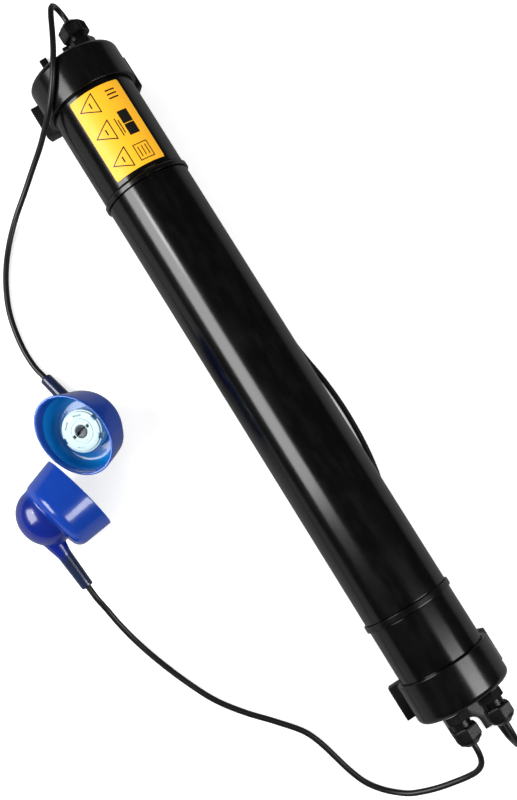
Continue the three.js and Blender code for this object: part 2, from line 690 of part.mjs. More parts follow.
/** Three stripped cores fan out of the mains lead's cut end. */
function mainsCores() {
  const [x, y, z] = mainsTailRoute.at(-1);
  ["brown", "blue", "earth"].forEach((name, i) => {
    const side = i - 1;
    const points = [
      [x - gap, y + side * coreOuter * 1.15, z + 0.1],
      [x - coreLength * 0.3, y + side * coreOuter * 1.3, z],
      [x - coreLength * 0.65, y + side * coreOuter * 2.2, z - 0.6],
      [x - coreLength, y + side * coreOuter * 3.4, z - 1.2],
    ];
    const core = cordAlong(points, coreOuter, 6);
    piece(object, "mains_core_" + name, core, finish(coreColours[i], 0.5));
  });
}

// ---------------------------------------------------------------- assembly

housingTubes();
collar("single_collar", -collarSpan / 2, collarRise);
collar("twin_collar", collarSpan / 2, 0);

const twinGlands = [-glandSpread / 2, glandSpread / 2];
const singleGland = glandSpread / 2;
endCap("single_end_cap", singleRim, -1, [-singleGland]); // turned round, so its hole is mirrored
endCap("twin_end_cap", twinRim, 1, twinGlands);
capSeal("single_cap_seal", singleRim, -1);
capSeal("twin_cap_seal", twinRim, 1);
bracket("single_bracket", singleRim - capLength / 2, -1);
bracket("twin_bracket", twinRim + capLength / 2, 1);
gland("single_gland", singleFace, -1, singleGland, singleFlats, Math.PI / 6);
gland("twin_gland", twinFace, 1, twinGlands[0], glandFlats, 0);
gland("mains_gland", twinFace, 1, twinGlands[1], glandFlats, 0);
label();

gearTray();
terminalBlock("single");
terminalBlock("twin");
wireTail("single_lead_wires", "single", -1, singleGland, 0);
wireTail("twin_lead_wires", "twin", 1, twinGlands[0], twinGlands[0] / 2);
wireTail("mains_lead_wires", "twin", 1, twinGlands[1], twinGlands[1] / 2);
ballastWire("single_ballast_wires", "single", -1);
ballastWire("twin_ballast_wires", "twin", 1);

const singleSleeve = lampEnd("single", [-48.3, -173.9, 28.4], [0.083, -0.431, 0.896],
  [-0.954, -0.29, -0.05], 46, 34.5, 1.41);
const twinSleeve = lampEnd("twin", [13.2, -252.8, 40], [-0.2546, 0.9617, -0.105],
  [0.946, 0.25, -0.208], 43.5, 35.5, 0.4);

piece(object, "single_lamp_lead", cordAlong([...singleLeadRoute, ...singleSleeve], cableOuter), cable);
piece(object, "twin_lamp_lead", cordAlong([...twinLeadRoute, ...twinSleeve], cableOuter), cable);
piece(object, "mains_lead", cordAlong(mainsLeadRoute, cableOuter), cable);
hank();
piece(object, "mains_lead_tail", cordAlong(mainsTailRoute, cableOuter), cable);
mainsCores();

export default object;
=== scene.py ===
"""Sealed control-gear housing of a UV pond clarifier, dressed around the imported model.

The housing is a black pipe with two collars and two end caps. It stands on two clip brackets, and
three cable glands let out two lamp leads and a mains lead. Each lamp lead ends in a soft blue boot
with a lamp holder in it. Lengths in this file are millimetres unless a name says otherwise.
"""
import logging
import math
from dataclasses import dataclass, field
from enum import Enum
from typing import Sequence

import bmesh
import bpy
from mathutils import Matrix, Vector


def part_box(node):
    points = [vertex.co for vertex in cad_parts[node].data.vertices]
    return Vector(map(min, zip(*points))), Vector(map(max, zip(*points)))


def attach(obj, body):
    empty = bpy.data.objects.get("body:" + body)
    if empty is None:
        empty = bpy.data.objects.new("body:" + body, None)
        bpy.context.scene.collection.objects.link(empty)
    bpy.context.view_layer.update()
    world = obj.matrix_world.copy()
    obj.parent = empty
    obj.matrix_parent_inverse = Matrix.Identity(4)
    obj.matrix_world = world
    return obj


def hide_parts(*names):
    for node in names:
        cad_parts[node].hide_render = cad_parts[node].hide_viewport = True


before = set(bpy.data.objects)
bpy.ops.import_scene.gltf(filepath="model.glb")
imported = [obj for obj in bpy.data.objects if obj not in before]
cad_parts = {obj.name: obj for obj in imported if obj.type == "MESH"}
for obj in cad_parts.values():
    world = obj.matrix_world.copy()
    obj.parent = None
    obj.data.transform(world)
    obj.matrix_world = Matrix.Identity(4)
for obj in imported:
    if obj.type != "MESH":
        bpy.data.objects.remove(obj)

LOG = logging.getLogger("clarifier")
MM = 0.001
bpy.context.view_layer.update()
Point = Sequence[float]


class End(Enum):
    """The two ends of the housing, and the way each one faces along X."""

    SINGLE = -1
    TWIN = 1


class Cut(Enum):
    """How two solids are combined."""

    JOIN = "UNION"
    CARVE = "DIFFERENCE"
    COMMON = "INTERSECT"


# ---------------------------------------------------------------- colours and nodes


def linear(hex_colour: str) -> tuple[float, float, float, float]:
    """Turns an sRGB hex colour into linear RGBA.

    Args:
        hex_colour: six hex digits, such as "0C44B5".

    Returns:
        The linear colour with full alpha.
    """
    parts = [int(hex_colour[i : i + 2], 16) / 255 for i in (0, 2, 4)]
    red, green, blue = (c / 12.92 if c <= 0.04045 else ((c + 0.055) / 1.055) ** 2.4 for c in parts)
    return (red, green, blue, 1.0)


def add(tree: bpy.types.NodeTree, kind: str, settings: dict | None = None, links: dict | None = None,
        **options: object) -> bpy.types.Node:
    """Adds a node with its settings and links.

    Args:
        tree: the tree that gets the node.
        kind: the node's type name.
        settings: input socket, by name or number, to its value.
        links: input socket, by name or number, to the output that feeds it.
        **options: the node's own properties.

    Returns:
        The new node.
    """
    node = tree.nodes.new(kind)
    for name, value in options.items():
        setattr(node, name, value)
    for key, value in (settings or {}).items():
        node.inputs[key].default_value = value
    for key, output in (links or {}).items():
        tree.links.new(output, node.inputs[key])
    return node


def new_material(name: str) -> tuple[bpy.types.Material, bpy.types.NodeTree, bpy.types.Node, bpy.types.Node]:
    """Makes an empty node material.

    Args:
        name: the material's name.

    Returns:
        The material, its tree, its shader node and its Object coordinates node.
    """
    material = bpy.data.materials.new(name)
    material.use_nodes = True
    tree = material.node_tree
    tree.nodes.clear()
    shader = add(tree, "ShaderNodeBsdfPrincipled")
    add(tree, "ShaderNodeOutputMaterial", links={"Surface": shader.outputs["BSDF"]})
    coordinates = add(tree, "ShaderNodeTexCoord")
    return material, tree, shader, coordinates


def noise(tree: bpy.types.NodeTree, place: bpy.types.NodeSocket, size_mm: float, stretch: Point = (1, 1, 1),
          detail: float = 3.0) -> bpy.types.NodeSocket:
    """Adds a noise whose grain has a real size.

    Args:
        tree: the material's tree.
        place: the coordinates to read.
        size_mm: the size of one grain.
        stretch: how many times finer the grain is along each axis.
        detail: the noise's detail.

    Returns:
        The noise's factor output.
    """
    mapping = add(tree, "ShaderNodeMapping", {"Scale": stretch}, {"Vector": place})
    settings = {"Scale": 1 / (size_mm * MM), "Detail": detail, "Roughness": 0.55}
    grain = add(tree, "ShaderNodeTexNoise", settings, {"Vector": mapping.outputs["Vector"]})
    return grain.outputs["Fac"]


def spread(tree: bpy.types.NodeTree, factor: bpy.types.NodeSocket, low: float, high: float,
           start: float = 0.3, stop: float = 0.7) -> bpy.types.NodeSocket:
    """Maps a factor between start and stop to the range from low to high, clamped.

    Args:
        tree: the material's tree.
        factor: the output to map.
        low: the result at start.
        high: the result at stop.
        start: the factor that gives low.
        stop: the factor that gives high.

    Returns:
        The mapped output.
    """
    settings = {"From Min": start, "From Max": stop, "To Min": low, "To Max": high}
    node = add(tree, "ShaderNodeMapRange", settings, {"Value": factor}, clamp=True)
    return node.outputs["Result"]


def blend_colours(tree: bpy.types.NodeTree, factor: bpy.types.NodeSocket, first: object,
                  second: object) -> bpy.types.NodeSocket:
    """Mixes two colours, each a value or an output, by a factor.

    Args:
        tree: the material's tree.
        factor: how much of the second colour there is.
        first: a colour or an output.
        second: a colour or an output.

    Returns:
        The mixed colour's output.
    """
    node = add(tree, "ShaderNodeMix", links={0: factor}, data_type="RGBA")
    for key, colour in ((6, first), (7, second)):
        if isinstance(colour, bpy.types.NodeSocket):
            tree.links.new(colour, node.inputs[key])
        else:
            node.inputs[key].default_value = colour
    return node.outputs[2]


def bump(tree: bpy.types.NodeTree, height: bpy.types.NodeSocket, depth_mm: float, strength: float,
         under: bpy.types.NodeSocket | None = None) -> bpy.types.NodeSocket:
    """Adds a bump of a real depth, on top of another one if it is given.

    Args:
        tree: the material's tree.
        height: the output to read as a height.
        depth_mm: how deep the relief is.
        strength: how strongly it shows.
        under: the normal that it lies on.

    Returns:
        The normal output.
    """
    links = {"Height": height}
    if under is not None:
        links["Normal"] = under
    node = add(tree, "ShaderNodeBump", {"Distance": depth_mm * MM, "Strength": strength}, links)
    return node.outputs["Normal"]


# ---------------------------------------------------------------- finishes


@dataclass(frozen=True)
class Finish:
    """What every finish has: a name for what it is, and the record's slot that it stands for."""

    name: str
    slot: str

    def material(self) -> bpy.types.Material:
        """The finish's material, made once."""
        return bpy.data.materials.get(self.name) or self.build()

    def build(self) -> bpy.types.Material:
        """Makes the material. Each kind of finish has its own way."""
        raise NotImplementedError


@dataclass(frozen=True)
class MouldedPlastic(Finish):
    """Moulded or extruded plastic: a fine skin grain, faint handling marks and a little dust."""

    colour: str
    worn: str
    rough: float
    grain_mm: float = 0.5
    grain_depth: float = 0.02
    grain_stretch: Point = (1, 1, 1)
    coat: float = 0.0
    scuff_mm: float = 9.0
    dust: float = 0.015
    glow: float = 0.0

    def build(self) -> bpy.types.Material:
        """Colour from broad and fine noise, roughness from scuffs, bump from the skin grain.

        Returns:
            The material.
        """
        material, tree, shader, place = new_material(self.name)
        here = place.outputs["Object"]
        broad = noise(tree, here, self.scuff_mm * 4, detail=4)
        scuff = noise(tree, here, self.scuff_mm, (0.35, 1, 1), detail=6)
        colour = blend_colours(tree, spread(tree, broad, 0, 0.4), linear(self.colour), linear(self.worn))
        shape = add(tree, "ShaderNodeNewGeometry")
        upward = add(tree, "ShaderNodeSeparateXYZ", links={"Vector": shape.outputs["Normal"]}).outputs["Z"]
        settled = add(tree, "ShaderNodeMath", links={0: spread(tree, upward, 0, self.dust, 0.5, 1),
                                                     1: spread(tree, scuff, 0.1, 1, 0.45, 0.75)},
                      operation="MULTIPLY").outputs[0]
        colour = blend_colours(tree, settled, colour, linear("8C8A86"))
        tree.links.new(colour, shader.inputs["Base Color"])
        tree.links.new(spread(tree, scuff, self.rough * 0.95, self.rough * 1.1, 0.3, 0.75),
                       shader.inputs["Roughness"])
        grain = noise(tree, here, self.grain_mm, self.grain_stretch)
        waves = bump(tree, broad, 0.06, 0.08)
        tree.links.new(bump(tree, grain, self.grain_depth, 0.5, waves), shader.inputs["Normal"])
        shader.inputs["IOR"].default_value = 1.52
        shader.inputs["Coat Weight"].default_value = self.coat
        shader.inputs["Coat Roughness"].default_value = 0.16
        shader.inputs["Subsurface Weight"].default_value = self.glow
        shader.inputs["Subsurface Radius"].default_value = (1.0, 0.9, 0.8)
        shader.inputs["Subsurface Scale"].default_value = 0.003
        return material


@dataclass(frozen=True)
class SoftVinyl(Finish):
    """Moulded soft vinyl, dyed all through, with light painted into the colour: painted light through the
    thin wall inside the cup, a painted highlight on the rim, and painted shade on the bulb and sleeve.
    """

    colour: str
    painted_lit_inside: str
    painted_edge_highlight: str
    painted_shade_and_tone: str
    stem: str

    def build(self) -> bpy.types.Material:
        """Colour from the wall's own attributes, which place the painted light and shade, with a wet-looking
        coat over a soft base.

        Returns:
            The material.
        """
        material, tree, shader, place = new_material(self.name)
        here = place.outputs["Object"]
        cloud = noise(tree, here, 22, detail=3)
        # random tone: noise mixes in a little of the bulb's painted shade colour
        body = blend_colours(tree, spread(tree, cloud, 0, 0.12), linear(self.colour), linear(self.painted_shade_and_tone))
        # painted light and shade by attribute: a lit inside, a highlight on the rim, shade on the bulb and on
        # the sleeve
        for attribute, colour in (("inside", self.painted_lit_inside), ("rim", self.painted_edge_highlight), ("bulb", self.painted_shade_and_tone),
                                  ("stem", self.stem)):
            share = add(tree, "ShaderNodeAttribute", attribute_name=attribute).outputs["Fac"]
            body = blend_colours(tree, share, body, linear(colour))
        tree.links.new(body, shader.inputs["Base Color"])
        smear = noise(tree, here, 12, detail=5)
        tree.links.new(spread(tree, smear, 0.2, 0.27), shader.inputs["Roughness"])
        ripple = bump(tree, noise(tree, here, 9, detail=1), 0.12, 0.2)
        tree.links.new(bump(tree, noise(tree, here, 0.8), 0.015, 0.4, ripple), shader.inputs["Normal"])
        shader.inputs["IOR"].default_value = 1.53
        shader.inputs["Subsurface Weight"].default_value = 0.12
        shader.inputs["Subsurface Radius"].default_value = (0.1, 0.5, 1.0)
        shader.inputs["Subsurface Scale"].default_value = 0.002
        shader.inputs["Coat Weight"].default_value = 0.5
        shader.inputs["Coat Roughness"].default_value = 0.05
        return material


@dataclass(frozen=True)
class SheetMetal(Finish):
    """Plated, rolled or stamped metal: fine drawn lines one way and cloudy plating."""

    colour: str
    shade: str
    rough: float
    grain_stretch: Point = (0.05, 1, 1)

    def build(self) -> bpy.types.Material:
        """Metallic base with a cloudy colour and stretched grain.

        Returns:
            The material.
        """
        material, tree, shader, place = new_material(self.name)
        here = place.outputs["Object"]
        cloud = noise(tree, here, 14, detail=5)
        colour = blend_colours(tree, spread(tree, cloud, 0, 1), linear(self.colour), linear(self.shade))
        tree.links.new(colour, shader.inputs["Base Color"])
        lines = noise(tree, here, 0.4, self.grain_stretch)
        tree.links.new(spread(tree, lines, self.rough * 0.8, self.rough * 1.3), shader.inputs["Roughness"])
        tree.links.new(bump(tree, lines, 0.01, 0.4), shader.inputs["Normal"])
        shader.inputs["Metallic"].default_value = 1.0
        return material


@dataclass(frozen=True)
class PrintedFilm(Finish):
    """Satin label film or the ink on it: slightly uneven colour, with a painted highlight that pales it
    towards one edge.
    """

    colour: str
    pale: str
    rough: float

    def build(self) -> bpy.types.Material:
        """Colour with a painted highlight that pales it towards -Y, where the film curves down to the light.

        Returns:
            The material.
        """
        material, tree, shader, place = new_material(self.name)
        here = place.outputs["Object"]
        across = add(tree, "ShaderNodeSeparateXYZ", links={"Vector": here}).outputs["Y"]
        # painted highlight: the colour pales towards the -Y edge, broken up a little by noise
        painted_edge_highlight = spread(tree, across, 0.85, 0.0, -0.027, 0.004)
        painted_highlight_mix = add(tree, "ShaderNodeMath", links={0: painted_edge_highlight, 1: spread(tree, noise(tree, here, 6), 0.7, 1)},
                     operation="MULTIPLY").outputs[0]
        tree.links.new(blend_colours(tree, painted_highlight_mix, linear(self.colour), linear(self.pale)),
                       shader.inputs["Base Color"])
        tree.links.new(spread(tree, noise(tree, here, 5), self.rough, self.rough * 1.4),
                       shader.inputs["Roughness"])
        tree.links.new(bump(tree, noise(tree, here, 1.2), 0.02, 0.25), shader.inputs["Normal"])
        shader.inputs["Coat Weight"].default_value = 0.1
        shader.inputs["Coat Roughness"].default_value = 0.3
        return material


# Extruded rigid PVC: a semi-gloss skin with faint lines along the pipe.
PIPE_PVC = MouldedPlastic("Extruded black PVC pipe", "black_pvc", "040405", "070708", 0.17, 0.6, 0.008,
                          (0.06, 1, 1))
# Moulded rigid PVC: the caps and collars are a little duller than the pipe.
CAP_PVC = MouldedPlastic("Moulded black PVC", "black_pvc", "050506", "08080A", 0.2, 0.5, 0.01)
# Glass-filled nylon: satin, with a visible spark-eroded grain.
BRACKET_NYLON = MouldedPlastic("Moulded black nylon", "black_nylon", "060708", "0B0C0D", 0.38, 0.45, 0.03)
# Polyamide cable glands: satin.
GLAND_NYLON = MouldedPlastic("Black polyamide gland", "black_nylon", "070708", "0C0C0D", 0.3, 0.35, 0.02)
# The gland's face washer is natural grey polyethylene.
WASHER_GREY = MouldedPlastic("Grey polyethylene washer", "grey_nylon", "A2A5A3", "8B8E8C", 0.45, dust=0.02)
# The rotor is moulded in a dark blue-grey nylon.
ROTOR_GREY = MouldedPlastic("Dark blue-grey rotor nylon", "grey_nylon", "26303F", "1B2331", 0.3, dust=0.0)
# Extruded flex sheath: satin PVC with a faint drag pattern.
SHEATH = MouldedPlastic("Black PVC cable sheath", "cable_sheath", "0C0C0D", "121213", 0.36, 0.7, 0.02)
# Nitrile seals and gland inserts: dull and very dark.
SEAL = MouldedPlastic("Black nitrile rubber", "seal_rubber", "0B0B0B", "121212", 0.7, 0.4, 0.02, dust=0.0)
# Urea lamp-holder resin: hard and bright white; its cool cyan cast is painted light, standing for blue light
# from the boot around the holder.
RESIN = MouldedPlastic("White urea resin", "white_resin", "B8D2D2", "A2C4C8", 0.28, 0.5, 0.01, coat=0.2,
                       glow=0.05)
# Soft vinyl, dyed all through, with painted light and shade: painted light inside the cup, a painted
# highlight on the rim, and painted shade on the bulb and the sleeve.
BOOT_VINYL = SoftVinyl("Blue soft vinyl", "blue_rubber", "043A9C", "0E80CC", "1450AC", "061E78", "182240")
# Electroplated sheet steel: bright grey, with a cloudy plating and fine rolling lines.
ZINC = SheetMetal("Zinc plated sheet", "zinc_steel", "C3C6C6", "9FA4A6", 0.32)
# Contacts sit deep in their pockets; their brass is painted near black as painted shade for the dark pockets,
# not tarnish.
BRASS = SheetMetal("Tarnished stamped brass", "contact_brass", "332B1C", "241E14", 0.4, (1, 1, 0.1))
# Vinyl label film: a warm yellow with a satin face, and a painted highlight that pales it towards -Y.
FILM = PrintedFilm("Yellow label film", "label_film", "FFB80C", "FFC22C", 0.4)
# The label's print is a brown-black ink, a little duller than the film, with the same painted highlight
# towards -Y.
INK = PrintedFilm("Black label ink", "label_film", "15120C", "2A2416", 0.42)
# Core insulation is plain extruded PVC in the three colours of a mains flex.
CORE_BROWN = MouldedPlastic("Brown core insulation", "brown_core", "6E3B1C", "5B2F16", 0.4, dust=0.0)
CORE_BLUE = MouldedPlastic("Blue core insulation", "blue_core", "2C5FA6", "234F8C", 0.4, dust=0.0)
CORE_EARTH = MouldedPlastic("Green core insulation", "earth_core", "4E8A34", "B9B23A", 0.4, scuff_mm=4,
                            dust=0.0)


# ---------------------------------------------------------------- solids


def solid(bm: bmesh.types.BMesh, name: str, finish: Finish | None = None) -> bpy.types.Object:
    """Turns mesh code into an object with outward faces.

    Args:
        bm: the mesh, in metres. It is freed.
        name: the object's name.
        finish: the finish that it gets, if any.

    Returns:
        The new object, in the scene.
    """
    bmesh.ops.remove_doubles(bm, verts=bm.verts, dist=1e-6)
    bmesh.ops.recalc_face_normals(bm, faces=bm.faces)
    mesh = bpy.data.meshes.new(name)
    bm.to_mesh(mesh)
    bm.free()
    obj = bpy.data.objects.new(name, mesh)
    bpy.context.scene.collection.objects.link(obj)
    if finish:
        mesh.materials.append(finish.material())
    return obj


def discard(*objects: bpy.types.Object) -> None:
    """Deletes helper objects."""
    for obj in objects:
        bpy.data.objects.remove(obj, do_unlink=True)


def bake(obj: bpy.types.Object) -> bpy.types.Object:
    """Puts the result of the object's modifiers into its mesh, and removes them.

    Args:
        obj: the object with live modifiers.

    Returns:
        The same object, without modifiers.
    """
    evaluated = obj.evaluated_get(bpy.context.evaluated_depsgraph_get())
    mesh = bpy.data.meshes.new_from_object(evaluated)
    mesh.name = obj.name
    obj.modifiers.clear()
    obj.data = mesh
    return obj


def combine(obj: bpy.types.Object, how: Cut, *others: bpy.types.Object) -> bpy.types.Object:
    """Combines a solid with others, which are used up.

    Args:
        obj: the solid that changes.
        how: join, carve or keep what is common.
        *others: the solids it is combined with.

    Returns:
        The changed object.
    """
    for other in others:
        modifier = obj.modifiers.new("combine", "BOOLEAN")
        modifier.operation = how.value
        modifier.solver = "EXACT"
        modifier.object = other
        bpy.context.view_layer.update()
        bake(obj)
    discard(*others)
    return obj


def soften(obj: bpy.types.Object, width: float, segments: int = 3, angle: float = 32) -> bpy.types.Object:
    """Rounds the sharp edges of a solid by a width in millimetres.

    Args:
        obj: the solid.
        width: how wide the rounding is.
        segments: how many faces go round it.
        angle: edges sharper than this, in degrees, are rounded.

    Returns:
        The same object.
    """
    modifier = obj.modifiers.new("round", "BEVEL")
    modifier.width = width * MM
    modifier.segments = segments
    modifier.limit_method = "ANGLE"
    modifier.angle_limit = math.radians(angle)
    modifier.use_clamp_overlap = True
    modifier.harden_normals = False
    bpy.context.view_layer.update()
    return bake(obj)


def smooth(obj: bpy.types.Object, angle: float = 35) -> bpy.types.Object:
    """Shades a piece smooth, and keeps edges sharper than the angle crisp.

    Args:
        obj: the piece.
        angle: edges sharper than this, in degrees, stay crisp.

    Returns:
        The same object.
    """
    obj.data.shade_smooth()
    obj.data.set_sharp_from_angle(angle=math.radians(angle))
    return obj


def rounded(outline: Sequence[Point], radii: dict[int, float], steps: int = 5) -> list[Point]:
    """Rounds chosen corners of an outline.

    Args:
        outline: the corners, as pairs.
        radii: corner number to radius.
        steps: points on each rounded corner.

    Returns:
        The outline with arcs in place of those corners.
    """
    points: list[Point] = []
    for i, corner in enumerate(outline):
        radius = radii.get(i)
        if not radius:
            points.append(corner)
            continue
        here = Vector(corner)
        back = (Vector(outline[i - 1]) - here).normalized()
        ahead = (Vector(outline[(i + 1) % len(outline)]) - here).normalized()
        half = back.angle(ahead) / 2
        reach = radius / math.tan(half)
        centre = here + (back + ahead).normalized() * (radius / math.sin(half))
        first = here + back * reach - centre
        last = here + ahead * reach - centre
        sweep = first.angle_signed(last)
        for k in range(steps + 1):
            turn = Matrix.Rotation(-sweep * k / steps, 2)
            points.append(tuple(centre + turn @ first))
    return points


def braced(outline: Sequence[Point], near: float = 0.5, least: float = 3.0) -> list[Point]:
    """Adds a point close to each end of every long line, so that shading bends only at the corners.

    Args:
        outline: [x, radius] pairs.
        near: how close to an end each new point is.
        least: lines shorter than this are left alone.

    Returns:
        The outline with the new points.
    """
    points: list[Point] = []
    for here, after in zip(outline, [*outline[1:], outline[0]]):
        points.append(here)
        way = Vector(after) - Vector(here)
        if way.length > least and (here[1] > 0 or after[1] > 0):
            share = near / way.length
            points += [tuple(Vector(here) + way * share), tuple(Vector(after) - way * share)]
    return points


def turned(name: str, outline: Sequence[Point], sides: int = 96, finish: Finish | None = None,
           place: Matrix | None = None) -> bpy.types.Object:
    """A body of revolution about X.

    Args:
        name: the object's name.
        outline: [x, radius] pairs. It closes on itself unless it starts on the axis.
        sides: how many sides it has.
        finish: its finish.
        place: where it stands, in metres.

    Returns:
        The new object.
    """
    bm = bmesh.new()
    rings: list[list[bmesh.types.BMVert]] = []
    for x, radius in outline:
        count = 1 if radius < 1e-6 else sides
        ring = []
        for k in range(count):
            turn = 2 * math.pi * k / sides
            ring.append(bm.verts.new((x * MM, -radius * MM * math.sin(turn), radius * MM * math.cos(turn))))
        rings.append(ring)
    pairs = list(zip(rings, rings[1:]))
    if len(rings[0]) > 1:
        pairs.append((rings[-1], rings[0]))
    for low, high in pairs:
        if len(low) == 1 and len(high) == 1:
            continue
        for k in range(sides):
            after = (k + 1) % sides
            corners = [low[k % len(low)], high[k % len(high)], high[after % len(high)], low[after % len(low)]]
            bm.faces.new(list(dict.fromkeys(corners)))
    if place:
        bm.transform(place)
    return solid(bm, name, finish)


def disc(name: str, start: float, stop: float, radius: float, sides: int = 96,
         place: Matrix | None = None) -> bpy.types.Object:
    """A plain round bar about X, used to cut or join."""
    return turned(name, [(start, 0), (start, radius), (stop, radius), (stop, 0)], sides, place=place)


def block(name: str, low: Point, high: Point, place: Matrix | None = None) -> bpy.types.Object:
    """A box between two corners, used to cut or join.

    Args:
        name: the object's name.
        low: the lowest corner.
        high: the highest corner.
        place: where it stands, in metres.

    Returns:
        The new object.
    """
    bm = bmesh.new()
    bmesh.ops.create_cube(bm, size=1)
    middle = (Vector(low) + Vector(high)) / 2 * MM
    size = (Vector(high) - Vector(low)) * MM
    bm.transform(Matrix.Translation(middle) @ Matrix.Diagonal((*size, 1)))
    if place:
        bm.transform(place)
    return solid(bm, name)


def prism(name: str, outline: Sequence[Point], low: float, high: float,
          place: Matrix | None = None) -> bpy.types.Object:
    """A flat outline in X and Y, pushed up from low to high.

    Args:
        name: the object's name.
        outline: its corners.
        low: where it starts.
        high: where it stops.
        place: where it stands, in metres.

    Returns:
        The new object.
    """
    bm = bmesh.new()
    base = [bm.verts.new((x * MM, y * MM, low * MM)) for x, y in outline]
    top = [bm.verts.new((x * MM, y * MM, high * MM)) for x, y in outline]
    bm.faces.new(base)
    bm.faces.new(top)
    for k in range(len(outline)):
        after = (k + 1) % len(outline)
        bm.faces.new((base[k], base[after], top[after], top[k]))
    if place:
        bm.transform(place)
    return solid(bm, name)


def smooth_route(points: Sequence[Point], spacing: float = 4.0) -> list[Vector]:
    """A centripetal curve through given points, cut into short even steps.

    Args:
        points: the points it passes through.
        spacing: the step's length.

    Returns:
        Points along the curve.
    """
    nodes = [Vector(p) for p in points]
    nodes = [2 * nodes[0] - nodes[1], *nodes, 2 * nodes[-1] - nodes[-2]]
    path = [nodes[1]]
    for p0, p1, p2, p3 in zip(nodes, nodes[1:], nodes[2:], nodes[3:]):
        t1 = (p1 - p0).length ** 0.5
        t2 = t1 + (p2 - p1).length ** 0.5
        t3 = t2 + (p3 - p2).length ** 0.5
        steps = max(1, round((p2 - p1).length / spacing))
        for k in range(1, steps + 1):
            t = t1 + (t2 - t1) * k / steps
            a1 = p0 * (t1 - t) / t1 + p1 * t / t1
            a2 = p1 * (t2 - t) / (t2 - t1) + p2 * (t - t1) / (t2 - t1)
            a3 = p2 * (t3 - t) / (t3 - t2) + p3 * (t - t2) / (t3 - t2)
            b1 = a1 * (t2 - t) / t2 + a2 * t / t2
            b2 = a2 * (t3 - t) / (t3 - t1) + a3 * (t - t1) / (t3 - t1)
            path.append(b1 * (t2 - t) / (t2 - t1) + b2 * (t - t1) / (t2 - t1))
    return path


def route_length(path: Sequence[Vector]) -> float:
    """The length of a path."""
    return sum((b - a).length for a, b in zip(path, path[1:]))


def round_cord(name: str, path: Sequence[Vector], diameter: float, finish: Finish) -> bpy.types.Object:
    """A curve of one open spline with a round section.

    Args:
        name: the object's name.
        path: points along its middle.
        diameter: how thick it is.
        finish: its finish.

    Returns:
        The new curve object.
    """
    curve = bpy.data.curves.new(name, "CURVE")
    curve.dimensions = "3D"
    curve.bevel_depth = diameter / 2 * MM
    curve.bevel_resolution = 5
    curve.use_fill_caps = True
    spline = curve.splines.new("POLY")
    spline.points.add(len(path) - 1)
    for point, spot in zip(spline.points, path):
        point.co = (*(spot * MM), 1)
    spline.use_smooth = True
    curve.materials.append(finish.material())
    obj = bpy.data.objects.new(name, curve)
    bpy.context.scene.collection.objects.link(obj)
    return obj


def settle(obj: bpy.types.Object, body: str, slot: str, *nodes: str) -> bpy.types.Object:
    """Puts a finished piece on its body, in place of the CAD nodes named.

    Args:
        obj: the piece.
        body: the body that it rides on.
        slot: the record's material slot; not used.
        *nodes: the CAD nodes that it stands for.

    Returns:
        The piece.
    """
    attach(obj, body)
    if nodes:
        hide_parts(*nodes)
    LOG.info("piece %s on %s", obj.name, body)
    return obj


# ---------------------------------------------------------------- repeats by geometry nodes


@dataclass
class Repeat:
    """Copies of one small shape in a row, and that row turned about X a number of times.

    The tree's inputs are the row's count and step, and the number of turns.
    """

    name: str = "Rows and turns"

    def tree(self, material: bpy.types.Material) -> bpy.types.NodeTree:
        """Builds the node tree.

        Args:
            material: what the copies are made of.

        Returns:
            The tree, with its inputs named.
        """
        tree = bpy.data.node_groups.new(self.name, "GeometryNodeTree")
        face = tree.interface
        face.new_socket("Shape", in_out="INPUT", socket_type="NodeSocketGeometry")
        face.new_socket("Count", in_out="INPUT", socket_type="NodeSocketInt")
        face.new_socket("Start", in_out="INPUT", socket_type="NodeSocketVector")
        face.new_socket("Step", in_out="INPUT", socket_type="NodeSocketVector")
        face.new_socket("Turns", in_out="INPUT", socket_type="NodeSocketInt")
        face.new_socket("Result", in_out="OUTPUT", socket_type="NodeSocketGeometry")
        given = add(tree, "NodeGroupInput")
        row = add(tree, "GeometryNodeMeshLine", links={"Count": given.outputs["Count"],
                  "Start Location": given.outputs["Start"], "Offset": given.outputs["Step"]})
        copies = add(tree, "GeometryNodeInstanceOnPoints",
                     links={"Points": row.outputs[0], "Instance": given.outputs["Shape"]})
        hub = add(tree, "GeometryNodeMeshLine", {"Offset": (0, 0, 0)}, {"Count": given.outputs["Turns"]})
        index = add(tree, "GeometryNodeInputIndex")
        part = add(tree, "ShaderNodeMath", {0: 2 * math.pi}, {1: given.outputs["Turns"]}, operation="DIVIDE")
        turn = add(tree, "ShaderNodeMath", links={0: index.outputs[0], 1: part.outputs[0]},
                   operation="MULTIPLY")
        about = add(tree, "ShaderNodeCombineXYZ", links={"X": turn.outputs[0]})
        round_hub = add(tree, "GeometryNodeInstanceOnPoints", links={"Points": hub.outputs[0],
                        "Instance": copies.outputs[0], "Rotation": about.outputs[0]})
        real = add(tree, "GeometryNodeRealizeInstances", links={0: round_hub.outputs[0]})
        coat = add(tree, "GeometryNodeSetMaterial", {"Material": material}, {"Geometry": real.outputs[0]})
        add(tree, "NodeGroupOutput", links={0: coat.outputs[0]})
        return tree

    def apply(self, shape: bpy.types.Object, finish: Finish, count: int, start: Point, step: Point,
              turns: int = 1) -> bpy.types.Object:
        """Repeats a shape and bakes the result into it.

        Args:
            shape: one copy, drawn round the origin.
            finish: the copies' finish.
            count: copies in a row.
            start: where the first copy goes.
            step: from one copy to the next.
            turns: how many times the row goes round the X axis.

        Returns:
            The same object with all the copies.
        """
        tree = self.tree(finish.material())
        modifier = shape.modifiers.new("repeat", "NODES")
        modifier.node_group = tree
        values = {"Count": count, "Turns": turns}
        values |= {"Start": [c * MM for c in start], "Step": [c * MM for c in step]}
        for item in tree.interface.items_tree:
            if item.name in values and item.in_out == "INPUT":
                modifier[item.identifier] = values[item.name]
        bpy.context.view_layer.update()
        return bake(shape)


def place_mesh(obj: bpy.types.Object, place: Matrix) -> bpy.types.Object:
    """Moves an object's mesh, so that the object itself stays at the origin."""
    obj.data.transform(place)
    return obj


